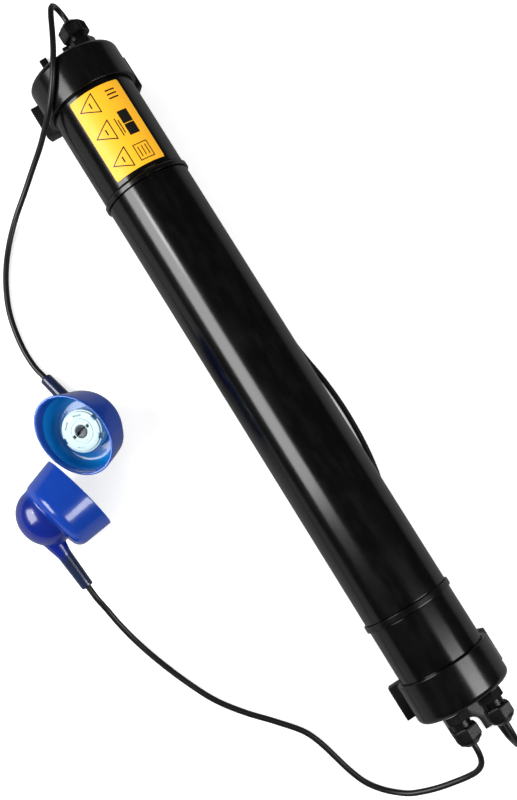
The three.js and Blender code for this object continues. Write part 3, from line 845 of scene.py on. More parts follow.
def gather(name: str, *objects: bpy.types.Object) -> bpy.types.Object:
    """Makes one object of several meshes without joining their surfaces.

    Args:
        name: the new object's name.
        *objects: the objects to take in. They are used up.

    Returns:
        The new object, with each material once.
    """
    bm = bmesh.new()
    materials: list[bpy.types.Material] = []
    for obj in objects:
        first = len(bm.faces)
        bm.from_mesh(obj.data)
        bm.faces.ensure_lookup_table()
        used = list(obj.data.materials)
        for face in bm.faces[first:]:
            material = used[face.material_index] if used else None
            if material and material not in materials:
                materials.append(material)
            face.material_index = materials.index(material) if material else 0
    mesh = bpy.data.meshes.new(name)
    bm.to_mesh(mesh)
    bm.free()
    for material in materials:
        mesh.materials.append(material)
    discard(*objects)
    obj = bpy.data.objects.new(name, mesh)
    bpy.context.scene.collection.objects.link(obj)
    return obj


# ---------------------------------------------------------------- camera and studio


@dataclass
class ViewPoint:
    """The camera, high above the housing and a little to the boots' side."""

    place: Point = (128.3, -163.4, 1245.1)
    forward: Point = (-0.09083, 0.12185, -0.98838)
    up: Point = (-0.84557, 0.51486, 0.14118)
    lens: float = 54.455
    sensor: float = 36.0

    def build(self) -> bpy.types.Object:
        """Makes the camera and sets it as the scene's own.

        Returns:
            The camera's object.
        """
        back = -Vector(self.forward).normalized()
        right = Vector(self.up).cross(back).normalized()
        up = back.cross(right)
        camera = bpy.data.cameras.new("View")
        camera.lens = self.lens
        camera.sensor_width = self.sensor
        camera.sensor_fit = "AUTO"
        camera.clip_end = 50
        obj = bpy.data.objects.new("View", camera)
        turn = Matrix((right, up, back)).transposed().to_4x4()
        obj.matrix_world = Matrix.Translation(Vector(self.place) * MM) @ turn
        bpy.context.scene.collection.objects.link(obj)
        bpy.context.scene.camera = obj
        bpy.context.scene.view_settings.view_transform = "Standard"
        return obj


@dataclass
class Studio:
    """A pale floor and surroundings that gloss sees darker, and large soft boxes."""

    floor_colour: str = "F4F4F4"
    floor_in_gloss: str = "8A8A8A"
    surround: float = 0.62
    gloss_surround: float = 0.03

    def build(self) -> None:
        """Makes the floor, the surroundings and the lights."""
        bm = bmesh.new()
        bmesh.ops.create_grid(bm, x_segments=1, y_segments=1, size=6)
        floor = solid(bm, "Floor")
        floor.location.z = -0.0004
        material, tree, shader, place = new_material("Pale studio floor")
        grain = noise(tree, place.outputs["Object"], 40, detail=4)
        pale = blend_colours(tree, grain, linear(self.floor_colour), linear("FBFBFB"))
        ray = add(tree, "ShaderNodeLightPath")
        tree.links.new(blend_colours(tree, ray.outputs["Is Glossy Ray"], pale, linear(self.floor_in_gloss)),
                       shader.inputs["Base Color"])
        tree.links.new(spread(tree, ray.outputs["Is Camera Ray"], 0, 0.4), shader.inputs["Emission Strength"])
        shader.inputs["Emission Color"].default_value = (1, 1, 1, 1)
        shader.inputs["Roughness"].default_value = 0.9
        floor.data.materials.append(material)
        self.surroundings()
        self.soft_box("Bank beside the single end", (-0.42, -1.2, 1.0), (-0.42, -0.02, 0.1), (1.15, 0.8), 23)
        self.soft_box("Panel over the twin end", (0.75, 0.66, 1.12), (0.36, 0.0, 0.1), (0.42, 0.8), 9)
        self.soft_box("Boot key", (-0.55, -1.0, 1.25), (-0.02, -0.2, 0.04), (0.16, 0.16), 1.2)

    def surroundings(self) -> None:
        """White all round for plain light, and dark for reflections."""
        world = bpy.data.worlds.new("Studio")
        world.use_nodes = True
        tree = world.node_tree
        tree.nodes.clear()
        ray = add(tree, "ShaderNodeLightPath")
        level = add(tree, "ShaderNodeMix", {2: self.surround, 3: self.gloss_surround},
                    {0: ray.outputs["Is Glossy Ray"]}, data_type="FLOAT")
        back = add(tree, "ShaderNodeBackground", {"Color": (1, 1, 1, 1)}, {"Strength": level.outputs[0]})
        add(tree, "ShaderNodeOutputWorld", links={"Surface": back.outputs[0]})
        bpy.context.scene.world = world

    def soft_box(self, name: str, place: Point, aim: Point, size: Point, watts: float) -> None:
        """Adds one rectangular light.

        Args:
            name: the light's name.
            place: where it stands, in metres.
            aim: what it points at, in metres.
            size: its length along X and its width, in metres.
            watts: its power.
        """
        light = bpy.data.lights.new(name, "AREA")
        light.shape = "RECTANGLE"
        light.size, light.size_y = size
        light.energy = watts
        obj = bpy.data.objects.new(name, light)
        back = (Vector(place) - Vector(aim)).normalized()
        side = Vector((1, 0, 0))
        side = (side - back * side.dot(back)).normalized()
        up = back.cross(side)
        obj.matrix_world = Matrix.Translation(place) @ Matrix((side, up, back)).transposed().to_4x4()
        bpy.context.scene.collection.objects.link(obj)


# ---------------------------------------------------------------- leads


@dataclass
class LampLead:
    """A limp two-core flex from a gland's mouth into a boot's sleeve."""

    end: End
    route: Sequence[Point]
    exit: Point
    length_m: float
    diameter: float = 6.0

    def build(self) -> bpy.types.Object:
        """Returns:
            The lead's object.
        """
        name = self.end.name.lower()
        path = smooth_route(self.route)
        cord = round_cord(f"{name}_lead_sheath", path, self.diameter, SHEATH)
        settle(cord, "housing", SHEATH.slot, f"{name}_lamp_lead")
        LOG.info("%s lead measures %.0f mm", name, route_length(path))
        return cord


SINGLE_ROUTE = [
    (-396.5, 18.5, 78), (-409, 18.5, 78), (-414.2, 18.1, 79), (-418.6, 17, 82), (-421.5, 15.4, 86.4),
    (-422.5, 13.5, 91.5), (-421.5, 11.4, 96.7), (-418.6, 9, 101.1), (-414, 6.2, 104.4),
    (-405, 1.8, 107.6), (-390, -5.2, 110.8), (-373, -14, 112.6), (-360, -22.4, 110.6),
    (-348, -31, 105.2), (-338, -40, 96.8), (-330, -49, 86), (-323, -59, 72), (-317, -69, 57),
    (-307, -87, 37), (-295, -106, 20.4), (-281, -126, 9), (-264, -144, 4.2), (-244, -160, 3.1),
    (-222, -173, 3), (-198, -183, 3), (-172, -188.6, 3), (-150, -190.4, 3), (-132.2, -189.2, 4.1),
    (-123.6, -187.2, 5.8), (-115.9, -185.5, 7.3), (-107.3, -183.5, 9), (-90.1, -179.5, 12.4),
]
TWIN_ROUTE = [
    (396.5, -18.5, 78), (406.5, -18.5, 78), (414, -18.6, 77.4), (422, -19.2, 74), (429.5, -22, 68),
    (434, -28, 60.5), (435.5, -37, 52), (435.2, -50, 42.5), (434, -64, 33), (431.3, -77.6, 24.5),
    (427, -91, 16.5), (419.6, -102.4, 10), (409.7, -113, 5.6), (396.8, -122.2, 3.5), (379.6, -129.1, 3),
    (359.9, -134.5, 3), (340.4, -140, 3), (323.8, -147.4, 3), (299, -167.4, 3), (275.6, -188.3, 3),
    (249.3, -207.4, 3), (217.3, -223, 3), (182, -236.7, 3.4), (156, -244.6, 5.6), (134, -249.4, 10.6),
    (115, -252.2, 17.2), (100.5, -254.4, 24.7), (91.7, -255.1, 26.4), (83.8, -255.7, 27.8),
    (75, -256.5, 29.5), (57.5, -258, 32.9),
]
MAINS_ROUTE = [
    (396.5, 18.5, 78), (409, 18.5, 78), (418.9, 18.7, 76), (427.4, 19, 70.4), (433, 19.5, 62),
    (435, 20.2, 53), (435, 21, 43), (435, 21.8, 32.8), (433, 22.3, 23), (427.4, 22.7, 14.8),
    (418.9, 22.9, 9.3), (409, 22.9, 7.5), (398, 22.5, 7.3), (386.5, 21.9, 7.3), (375, 20.9, 7.5),
    (360, 19.2, 7.7), (345, 17.2, 7.7), (331, 15.4, 7.3), (315, 13.4, 4.9), (298, 12.5, 3.3),
    (275, 13, 3.1), (250, 18, 3), (222, 27, 3), (192, 39, 3), (160, 50, 3), (128, 57, 3),
    (96, 60.3, 3), (64, 61, 3), (32, 59, 3), (0, 54.6, 3), (-28, 51.8, 3.2), (-56, 51, 3.9),
    (-80, 51, 4.4), (-100, 51, 4.4),
]
TAIL_ROUTE = [(-240, 36, 10.4), (-256.5, 36, 10.4), (-264, 35.9, 9.6), (-273, 35.5, 7.1), (-282, 35, 4.7),
              (-291, 34.4, 3.3), (-299, 34, 3.1)]


@dataclass
class MainsLead:
    """The mains lead: down from its gland, under the housing, and the spare length in a tied hank."""

    exit: Point = (406.5, 18.5, 78)
    length_m: float = 3.0
    diameter: float = 6.0
    core: float = 2.2
    middle: Point = (-170, 8)
    straight: float = 92.0
    runs: Sequence[float] = (43, 40, 37, 34, 31, 28, 25, 22, 19, 19, 22, 25, 28)
    low: float = 4.4
    high: float = 10.4
    climb: int = 8

    def hank(self) -> list[Point]:
        """The folded part. Its runs go in to the middle on the floor and come out again on top.

        Returns:
            The points of the folds.
        """
        x, y = self.middle
        points: list[Point] = []
        for i, radius in enumerate(self.runs):
            side = 1 if i % 2 == 0 else -1
            level = self.low if i <= self.climb else self.high
            for share in (0.5, 0.17, -0.17, -0.5):
                points.append((x + side * self.straight * share, y + side * radius, level))
            if i + 1 == len(self.runs):
                break
            after = self.runs[i + 1]
            for k in range(1, 8):
                turn = math.pi * k / 8
                squeeze = math.sin(turn) if i == self.climb else 0.0
                reach = radius + (after - radius) * k / 8 - squeeze
                lift = (self.high - self.low) * (1 - math.cos(turn)) / 2 if i == self.climb else 0.0
                points.append((x - side * (self.straight / 2 + reach * math.sin(turn)),
                               y + side * reach * math.cos(turn), level + lift))
        return points

    def build(self) -> bpy.types.Object:
        """Returns:
            The lead's object.
        """
        points = [*MAINS_ROUTE, *self.hank(), *TAIL_ROUTE]
        path = smooth_route(points)
        cord = round_cord("mains_lead_sheath", path, self.diameter, SHEATH)
        settle(cord, "housing", SHEATH.slot, "mains_lead", "mains_hank", "mains_lead_tail")
        cores = self.cores()
        tie = self.tie()
        LOG.info("mains lead measures %.0f mm", route_length(path))
        return cord

    def cores(self) -> list[bpy.types.Object]:
        """Three insulated cores fan out of the stripped end.

        Returns:
            The three cores.
        """
        x, y, z = TAIL_ROUTE[-1]
        made = []
        finishes = {"brown": CORE_BROWN, "blue": CORE_BLUE, "earth": CORE_EARTH}
        for i, (name, finish) in enumerate(finishes.items()):
            side = (i - 1) * self.core
            route = [(x - 0.3, y + side * 1.15, z + 0.1), (x - 7.2, y + side * 1.3, z),
                     (x - 15.6, y + side * 2.2, z - 0.6), (x - 24, y + side * 3.4, z - 1.2)]
            core = round_cord(f"core_{name}", smooth_route(route, 1.5), self.core, finish)
            settle(core, "housing", finish.slot, f"mains_core_{name}")
            made.append(core)
        return made

    def tie(self) -> bpy.types.Object:
        """A soft strap drawn tight round the hank, following its wide lower and narrow upper layer.

        Returns:
            The strap with its buckle.
        """
        x, y = self.middle
        outside = [(-46.7, 0.6), (46.7, 0.6), (46.7, 8.2), (32.5, 14.3), (-32.5, 14.3), (-46.7, 8.2)]
        inside = [(-46.1, 1.3), (46.1, 1.3), (46.1, 7.8), (32.2, 13.5), (-32.2, 13.5), (-46.1, 7.8)]
        turn = Matrix(((0, 0, 1, x * MM), (1, 0, 0, y * MM), (0, 1, 0, 0), (0, 0, 0, 1)))
        outer = prism("hank_strap", rounded(outside, {k: 1.2 for k in range(6)}, 4), -4, 4)
        hole = prism("hole", rounded(inside, {k: 0.6 for k in range(6)}, 3), -9, 9)
        strap = soften(combine(outer, Cut.CARVE, hole), 0.2, 2)
        buckle = soften(block("buckle", (-5, 13.6, -5.5), (5, 15.4, 5.5)), 0.5)
        strap = gather("hank_strap", strap, buckle)
        place_mesh(strap, turn)
        strap.data.materials.append(BRACKET_NYLON.material())
        smooth(strap)
        return settle(strap, "housing", BRACKET_NYLON.slot, "hank_tie")


# ---------------------------------------------------------------- housing


@dataclass
class Housing:
    """The three tubes, their collars and the caps, with their axis along X."""

    axis: float = 61.0
    tube: float = 45.0
    wall: float = 3.2
    gap: float = 0.3
    cap_wall: float = 4.7
    cap_end: float = 5.0
    cap_corner: float = 6.5
    seal_inset: float = 10.0
    gland_bore: float = 10.3
    gland_rise: float = 17.0
    gland_side: float = 18.5

    def at_axis(self) -> Matrix:
        """From a shape drawn round X to its place on the tube's axis."""
        return Matrix.Translation((0, 0, self.axis * MM))

    def span(self, node: str) -> tuple[float, float]:
        """A CAD node's lowest and highest X, in millimetres."""
        low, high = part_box(node)
        return low[0] / MM, high[0] / MM

    def build(self) -> None:
        """Makes the tubes, the collars and the caps."""
        for node in ("middle_tube", "single_end_tube", "twin_end_tube"):
            self.pipe(node)
        for end in End:
            self.collar(end)
            self.cap(end)

    def pipe(self, node: str) -> None:
        """A saw-cut pipe with its edges broken.

        Args:
            node: the CAD tube's name.
        """
        start, stop = self.span(node)
        inner = self.tube - self.wall
        outline = [(start, inner), (start, self.tube), (stop, self.tube), (stop, inner)]
        shape = turned(node + "_pipe", braced(rounded(outline, {1: 0.5, 2: 0.5}, 3)), 144, PIPE_PVC,
                       self.at_axis())
        settle(smooth(shape), "housing", PIPE_PVC.slot, node)

    def collar(self, end: End) -> None:
        """A coupling ring between two tubes. The single end's ring has a ramped side.

        Args:
            end: the end that it belongs to.
        """
        node = f"{end.name.lower()}_collar"
        start, stop = self.span(node)
        low, high = start + 18, stop - 18
        spigot = self.tube - self.wall - self.gap
        band = self.tube + 2.1
        ramp = 2.1 if end is End.SINGLE else 0.35
        outline = [(start, spigot - 2.5), (start, spigot), (low, spigot), (low, band - ramp),
                   (low + ramp, band), (high, band), (high, spigot), (stop, spigot), (stop, spigot - 2.5)]
        outline = braced(rounded(outline, {1: 0.5, 4: 0.35, 5: 0.45, 7: 0.5}, 3))
        shape = turned(node + "_ring", outline, 144, CAP_PVC, self.at_axis())
        settle(smooth(shape, 30), "housing", CAP_PVC.slot, node)

    def cap(self, end: End) -> None:
        """A socket cap with a rounded outer corner, a seal groove inside and bored for its glands.

        Args:
            end: the end that it closes.
        """
        node = f"{end.name.lower()}_end_cap"
        start, stop = self.span(node)
        length = stop - start
        socket = self.tube + self.gap
        radius = socket + self.cap_wall
        groove = socket + 2.6
        inset = self.seal_inset
        outline = [(length, 0), (length, radius), (0, radius), (0, socket),
                   (inset - 1.6, socket), (inset - 1.6, groove), (inset + 1.6, groove), (inset + 1.6, socket),
                   (length - self.cap_end, socket), (length - self.cap_end, 0)]
        outline = braced(rounded(outline, {1: self.cap_corner, 2: 0.9, 3: 0.7}, 8))
        shape = turned("cap", outline, 144, CAP_PVC)
        sides = (self.gland_side,) if end is End.SINGLE else (-self.gland_side, self.gland_side)
        hand = -1 if end is End.SINGLE else 1
        for side in sides:
            middle = Matrix.Translation((0, hand * side * MM, self.gland_rise * MM))
            bore = disc("bore", length - self.cap_end - 2, length + 2, self.gland_bore, 48, middle)
            shape = combine(shape, Cut.CARVE, bore)
        if end is End.SINGLE:
            place_mesh(shape, Matrix.Rotation(math.pi, 4, "Z"))
            place_mesh(shape, Matrix.Translation((stop * MM, 0, 0)))
        else:
            place_mesh(shape, Matrix.Translation((start * MM, 0, 0)))
        place_mesh(shape, self.at_axis())
        shape.name = node + "_moulding"
        settle(smooth(shape), "housing", CAP_PVC.slot, node)


@dataclass
class RatingLabel:
    """A wrapped label with plain outlined shapes, bars and panels, and nothing to read."""

    axis: float = 61.0
    radius: float = 45.35
    thickness: float = 0.3
    half_angle: float = 0.63
    corner: float = 1.0
    start: float = -323.1
    length: float = 92.0
    strokes: list[tuple[Point, Point, float]] = field(default_factory=list)

    def wrap(self, along: float, across: float, lift: float) -> Vector:
        """A point on the wrapped label.

        Args:
            along: from the label's cap end, along the tube.
            across: from the label's middle line, along the curve, positive towards +Y.
            lift: above the label's underside.

        Returns:
            The point, in metres.
        """
        turn = across / self.radius
        reach = self.radius + lift
        return Vector((self.start + along, reach * math.sin(turn), self.axis + reach * math.cos(turn))) * MM

    def triangle(self, along: float, across: float, size: float) -> None:
        """Adds a plain outlined triangle whose tip points to -Y.

        Args:
            along: its middle, along the tube.
            across: its middle, along the curve.
            size: how long its sides are.
        """
        base = across + size * 0.43
        tip = across - size * 0.43
        corners = [(along - size / 2, base), (along + size / 2, base), (along, tip)]
        for a, b in zip(corners, corners[1:] + corners[:1]):
            self.strokes.append((a, b, 1.15))

    def marks(self) -> None:
        """Lists the print: a column of triangles, then bars, panels and a boxed cross-hatch."""
        for along in (14, 45.5, 77):
            self.triangle(along, -13.5, 21.5)
            self.strokes.append(((along - 2.6, -10.6), (along + 2.6, -10.6), 1.5))
        for along, width in ((8.2, 1.6), (12.6, 1.6), (17.0, 1.6)):
            self.strokes.append(((along, 9.5), (along, 19), width))
        self.strokes.append(((32.5, 13.5), (45.5, 13.5), 11))
        self.strokes.append(((47.3, 13.5), (59, 13.5), 11))
        for row in range(2):
            across = 2.4 + 2.6 * row
            self.strokes.append(((37.5 + 3 * row, across), (56.5 - 2 * row, across), 1.1))
        for a, b in (((70, 4), (87, 4)), ((87, 4), (87, 19)), ((87, 19), (70, 19)), ((70, 19), (70, 4)),
                     ((73.5, 7.5), (83.5, 7.5)), ((73.5, 15.5), (83.5, 15.5)), ((73.5, 11.5), (83.5, 11.5))):
            self.strokes.append((a, b, 1.0))

    def build(self) -> None:
        """Makes the film and the ink on it."""
        bm = bmesh.new()
        half = self.half_angle * self.radius
        rows, columns = 24, 36
        grid: list[list[list[bmesh.types.BMVert]]] = []
        for lift in (0.0, self.thickness):
            sheet = []
            for i in range(columns + 1):
                along = self.length * i / columns
                inset = max(0.0, self.corner - min(along, self.length - along))
                trim = self.corner - math.sqrt(max(0.0, self.corner**2 - inset**2))
                line = [bm.verts.new(self.wrap(along, (half - trim) * (2 * j / rows - 1), lift))
                        for j in range(rows + 1)]
                sheet.append(line)
            grid.append(sheet)
        for sheet in grid:
            for i in range(columns):
                for j in range(rows):
                    bm.faces.new((sheet[i][j], sheet[i + 1][j], sheet[i + 1][j + 1], sheet[i][j + 1]))
        rim = [(i, 0) for i in range(columns)] + [(columns, j) for j in range(rows)]
        rim += [(i, rows) for i in range(columns, 0, -1)] + [(0, j) for j in range(rows, 0, -1)]
        for (a, b), (c, d) in zip(rim, rim[1:] + rim[:1]):
            bm.faces.new((grid[0][a][b], grid[0][c][d], grid[1][c][d], grid[1][a][b]))
        film = smooth(solid(bm, "label_film", FILM))
        settle(film, "housing", FILM.slot, "label")
        self.marks()
        bm = bmesh.new()
        for start, stop, width in self.strokes:
            self.stroke(bm, start, stop, width)
        settle(smooth(solid(bm, "label_print", INK)), "housing", INK.slot)

    def stroke(self, bm: bmesh.types.BMesh, start: Point, stop: Point, width: float) -> None:
        """Adds one thick line of ink, cut into short steps so that it follows the curve.

        Args:
            bm: the print's mesh.
            start: where the line starts.
            stop: where it stops.
            width: how thick it is.
        """
        a, b = Vector(start), Vector(stop)
        way = (b - a).normalized()
        side = Vector((-way.y, way.x)) * width / 2
        a, b = a - way * min(width, 1) / 2, b + way * min(width, 1) / 2
        steps = max(1, round((b - a).length / 2))
        lanes = max(1, round(width / 2))
        low, high = self.thickness + 0.005, self.thickness + 0.03
        layers = []
        for lift in (low, high):
            rows = []
            for i in range(steps + 1):
                middle = a.lerp(b, i / steps)
                rows.append([bm.verts.new(self.wrap(*(middle + side * (2 * j / lanes - 1)), lift))
                             for j in range(lanes + 1)])
            layers.append(rows)
        for rows in layers:
            for i in range(steps):
                for j in range(lanes):
                    bm.faces.new((rows[i][j], rows[i + 1][j], rows[i + 1][j + 1], rows[i][j + 1]))
        rim = [(i, 0) for i in range(steps)] + [(steps, j) for j in range(lanes)]
        rim += [(i, lanes) for i in range(steps, 0, -1)] + [(0, j) for j in range(lanes, 0, -1)]
        for (p, q), (r, s) in zip(rim, rim[1:] + rim[:1]):
            bm.faces.new((layers[0][p][q], layers[0][r][s], layers[1][r][s], layers[1][p][q]))


@dataclass
class ClipBracket:
    """A moulded bracket: a narrow foot, two wide ribbed heads that grip the cap, and a slotted lug."""

    end: End
    axis: float = 61.0
    middle: float = 349.25
    half: float = 11.5
    side: float = 47.0
    plate: float = 4.0
    channel: float = 25.0
    cradle: float = 50.3
    head: tuple[float, float] = (-21.3, 14.4)
    head_low: float = 20.3
    head_high: float = 37.3
    head_side: float = 56.3
    head_draft: float = 3.2
    head_brow: float = 4.0
    grip_ribs: int = 11
    grip_pitch: float = 2.9
    shoulder: float = 23.0
    shoulder_end: float = 59.2
    lug_side: float = 18.0
    lug_tip: float = 70.0
    slot: float = 10.0
    slot_depth: float = 18.5

    def build(self) -> bpy.types.Object:
        """Makes the bracket facing +X round its own middle, then turns it to its end.

        Returns:
            The bracket's object.
        """
        body = block("base", (-self.half, -self.side, 0), (self.half, self.side, self.plate))
        for hand in (-1, 1):
            ys = sorted((hand * self.channel, hand * self.side))
            cheek = block("cheek", (-self.half, ys[0], self.plate / 2), (self.half, ys[1], self.head_low + 2))
            body = combine(body, Cut.JOIN, cheek)
            body = combine(body, Cut.JOIN, self.grip(hand))
        body = combine(body, Cut.JOIN, self.lug())
        bore = disc("cradle", self.head[0] - 1, self.half + 5, self.cradle, 128,
                    Matrix.Translation((0, 0, self.axis * MM)))
        body = combine(body, Cut.CARVE, bore)
        soften(body, 0.7, 3, 40)
        body.data.materials.clear()
        body.data.materials.append(BRACKET_NYLON.material())
        body = gather("bracket", body, *self.ribs())
        place = Matrix.Translation((self.end.value * self.middle * MM, 0, 0))
        if self.end is End.SINGLE:
            place = place @ Matrix.Rotation(math.pi, 4, "Z")
        place_mesh(body, place)
        body.name = f"{self.end.name.lower()}_bracket_clip"
        return settle(smooth(body), "housing", BRACKET_NYLON.slot, f"{self.end.name.lower()}_bracket")

    def grip(self, hand: int) -> bpy.types.Object:
        """One head: it leans outwards, and its top is flat.

        Args:
            hand: 1 on the +Y side and -1 on the other.

        Returns:
            The head, before the cradle is cut.
        """
        low, high = self.head_low, self.head_high
        outline = [(hand * self.channel, low), (hand * (self.head_side - self.head_draft), low),
                   (hand * self.head_side, high - self.head_brow), (hand * self.head_side, high),
                   (hand * self.channel, high)]
        head = prism("head", outline, self.head[0], self.head[1])
        turn = Matrix(((0, 0, 1, 0), (1, 0, 0, 0), (0, 1, 0, 0), (0, 0, 0, 1)))
        return place_mesh(head, turn)

    def lug(self) -> bpy.types.Object:
        """The lug: a wide shoulder, a narrower tip and an open slot with a round end.

        Returns:
            The lug, as a plate on the floor.
        """
        centre = self.lug_tip - self.slot_depth + self.slot
        outline = [(self.half - 1, -self.shoulder), (self.shoulder_end, -self.shoulder),
                   (self.shoulder_end, -self.lug_side), (self.lug_tip, -self.lug_side),
                   (self.lug_tip, -self.slot)]
        for k in range(25):
            turn = -math.pi / 2 - math.pi * k / 24
            outline.append((centre + self.slot * math.cos(turn), self.slot * math.sin(turn)))
        outline += [(self.lug_tip, self.slot), (self.lug_tip, self.lug_side),
                    (self.shoulder_end, self.lug_side), (self.shoulder_end, self.shoulder),
                    (self.half - 1, self.shoulder)]
        return prism("lug", outline, 0, self.plate)

    def ribs(self) -> list[bpy.types.Object]:
        """Fine grip ribs up the outside of each head.

        Returns:
            One set of ribs for each head.
        """
        made = []
        top = self.head_high - self.head_brow
        low, high = self.head_low + 1.2, top - 0.6
        lean = math.atan2(self.head_draft, top - self.head_low)
        middle = (self.head_low + top) / 2
        reach = self.head_side - self.head_draft / 2 - 0.1
        first = self.head[0] + self.grip_pitch
        for hand in (-1, 1):
            rib = block("rib", (-0.7, -0.6, low - middle), (0.7, 0.6, high - middle))
            soften(rib, 0.35, 2)
            place_mesh(rib, Matrix.Rotation(-hand * lean, 4, "X"))
            made.append(Repeat("Grip ribs").apply(rib, BRACKET_NYLON, self.grip_ribs,
                                                  (first, hand * reach, middle), (self.grip_pitch, 0, 0)))
        return made


@dataclass
class CableGland:
    """A gland: face washer, hexagonal body with a threaded neck, and a ribbed dome nut."""

    name: str
    end: End
    side: float
    body_name: str
    flats: float = 24.0
    turn: float = 0.0
    face: float = 370.5
    rise: float = 78.0
    thread: float = 10.0
    neck: tuple[float, float] = (11.0, 18.0)
    nut: tuple[float, float, float] = (18.0, 30.5, 36.0)
    bore: float = 4.0
    thread_pitch: float = 1.5
    thread_ridges: int = 9
    nut_ribs: int = 8
    rib_pitch: float = 1.5
    rib_radius: float = 0.55

    def place(self) -> Matrix:
        """From a gland that points to +X with its washer at x = 0 to its place on the cap.

        Returns:
            The matrix, in metres.
        """
        way = self.end.value
        spot = Matrix.Translation((way * self.face * MM, self.side * MM, self.rise * MM))
        return spot @ Matrix.Rotation(math.pi, 4, "Z") if way < 0 else spot

    def hexagon(self, start: float, stop: float, name: str) -> bpy.types.Object:
        """A hexagonal bar, turned to the gland's own angle."""
        turn = Matrix.Rotation(math.radians(self.turn), 4, "X")
        return disc(name, start, stop, self.flats / math.sqrt(3), 6, turn)

    def build(self) -> None:
        """Makes the washer, the body and the nut."""
        place = self.place()
        ring = [(0.3, self.thread + 0.3), (0.3, 12.5), (2.5, 12.5), (2.5, self.thread + 0.3)]
        outline = rounded(ring, {1: 0.5, 2: 0.7}, 3)
        washer = turned(f"{self.name}_face_washer", outline, 64, WASHER_GREY, place)
        settle(smooth(washer), "housing", WASHER_GREY.slot, f"{self.name}_gland_washer")
        self.body(place)
        self.dome_nut(place)

    def body(self, place: Matrix) -> None:
        """The body: a chamfered hexagon, a core that runs back behind the cap, and ridges of thread on its
        neck.

        Args:
            place: the gland's place.
        """
        corner = self.flats / math.sqrt(3)
        hexagon = self.hexagon(2.8, self.neck[0], "hex")
        chamfer = turned("chamfer", [(2, 0), (2, corner - 1.2), (3.6, corner), (10.2, corner),
                                     (11.6, corner - 2), (11.6, 0)], 72)
        body = soften(combine(hexagon, Cut.COMMON, chamfer), 0.35, 2, 25)
        stop = self.nut[0] + (self.nut[1] - self.nut[0]) * 0.6
        core = disc("core", -13, stop, self.thread - 0.6, 64)
        hollow = turned("hollow", [(-14, 0), (-14, self.bore), (18.6, self.bore), (18.6, 6.3),
                                   (stop + 1, 6.3), (stop + 1, 0)], 48)
        body = combine(body, Cut.JOIN, core)
        body = combine(body, Cut.CARVE, hollow)
        ridge = turned("ridge", [(-0.55, self.thread - 0.75), (-0.12, self.thread), (0.12, self.thread),
                                 (0.55, self.thread - 0.75)], 64)
        outer = Repeat("Thread on the neck").apply(ridge, GLAND_NYLON, self.thread_ridges,
                                                   (self.neck[0] + 0.9, 0, 0), (self.thread_pitch, 0, 0))
        body.data.materials.clear()
        body.data.materials.append(GLAND_NYLON.material())
        body = gather(f"{self.name}_gland_stem", body, outer)
        place_mesh(body, place)
        settle(smooth(body), "housing", GLAND_NYLON.slot, f"{self.name}_gland_body")

    def dome_nut(self, place: Matrix) -> None:
        """The nut: ribs on its flats, a smooth collar and a dome with the cable's mouth.

        Args:
            place: the gland's place.
        """
        start, stop, mouth = self.nut
        corner = self.flats / math.sqrt(3)
        hexagon = self.hexagon(start, stop, "hex")
        chamfer = turned("chamfer", [(start - 1, 0), (start - 1, corner - 1.6), (start + 1.2, corner),
                                     (stop - 0.9, corner), (stop + 0.6, corner - 2), (stop + 0.6, 0)], 72)
        nut = combine(hexagon, Cut.COMMON, chamfer)
        outline = [(stop - 0.5, 0), (stop - 0.5, 11.7), (stop + 1.9, 11.5), (stop + 2.4, 10.4),
                   (mouth - 1.6, 8.3), (mouth, 6.6), (mouth, 0)]
        dome = turned("dome", rounded(outline, {2: 0.7, 3: 0.5, 4: 1.8, 5: 0.6}, 4), 72)
        nut = combine(nut, Cut.JOIN, dome)
        thread_end = start + (stop - start) * 0.6
        hollow = turned("hollow", [(start - 1, 0), (start - 1, self.thread + 0.4),
                                   (thread_end + 3.6, self.thread + 0.4), (stop + 1.8, 6.3),
                                   (stop + 1.8, self.bore), (mouth + 1, self.bore), (mouth + 1, 0)], 48)
        nut = combine(nut, Cut.CARVE, hollow)
        soften(nut, 0.3, 2, 28)
        nut.data.materials.clear()
        nut.data.materials.append(GLAND_NYLON.material())
        length = stop - start - 3.4
        rib = disc("rib", -length / 2, length / 2, self.rib_radius, 8)
        middle = (start + stop) / 2
        first = (middle, -self.rib_pitch * (self.nut_ribs - 1) / 2, self.flats / 2)
        ribs = Repeat("Ribs on the nut's flats").apply(rib, GLAND_NYLON, self.nut_ribs, first,
                                                       (0, self.rib_pitch, 0), 6)
        place_mesh(ribs, Matrix.Rotation(math.radians(30 + self.turn), 4, "X"))
        nut = gather(f"{self.name}_gland_nut", nut, ribs)
        place_mesh(nut, place)
        settle(smooth(nut, 30), self.body_name, GLAND_NYLON.slot, f"{self.name}_gland_dome_nut")


# ---------------------------------------------------------------- boots and lamp holders


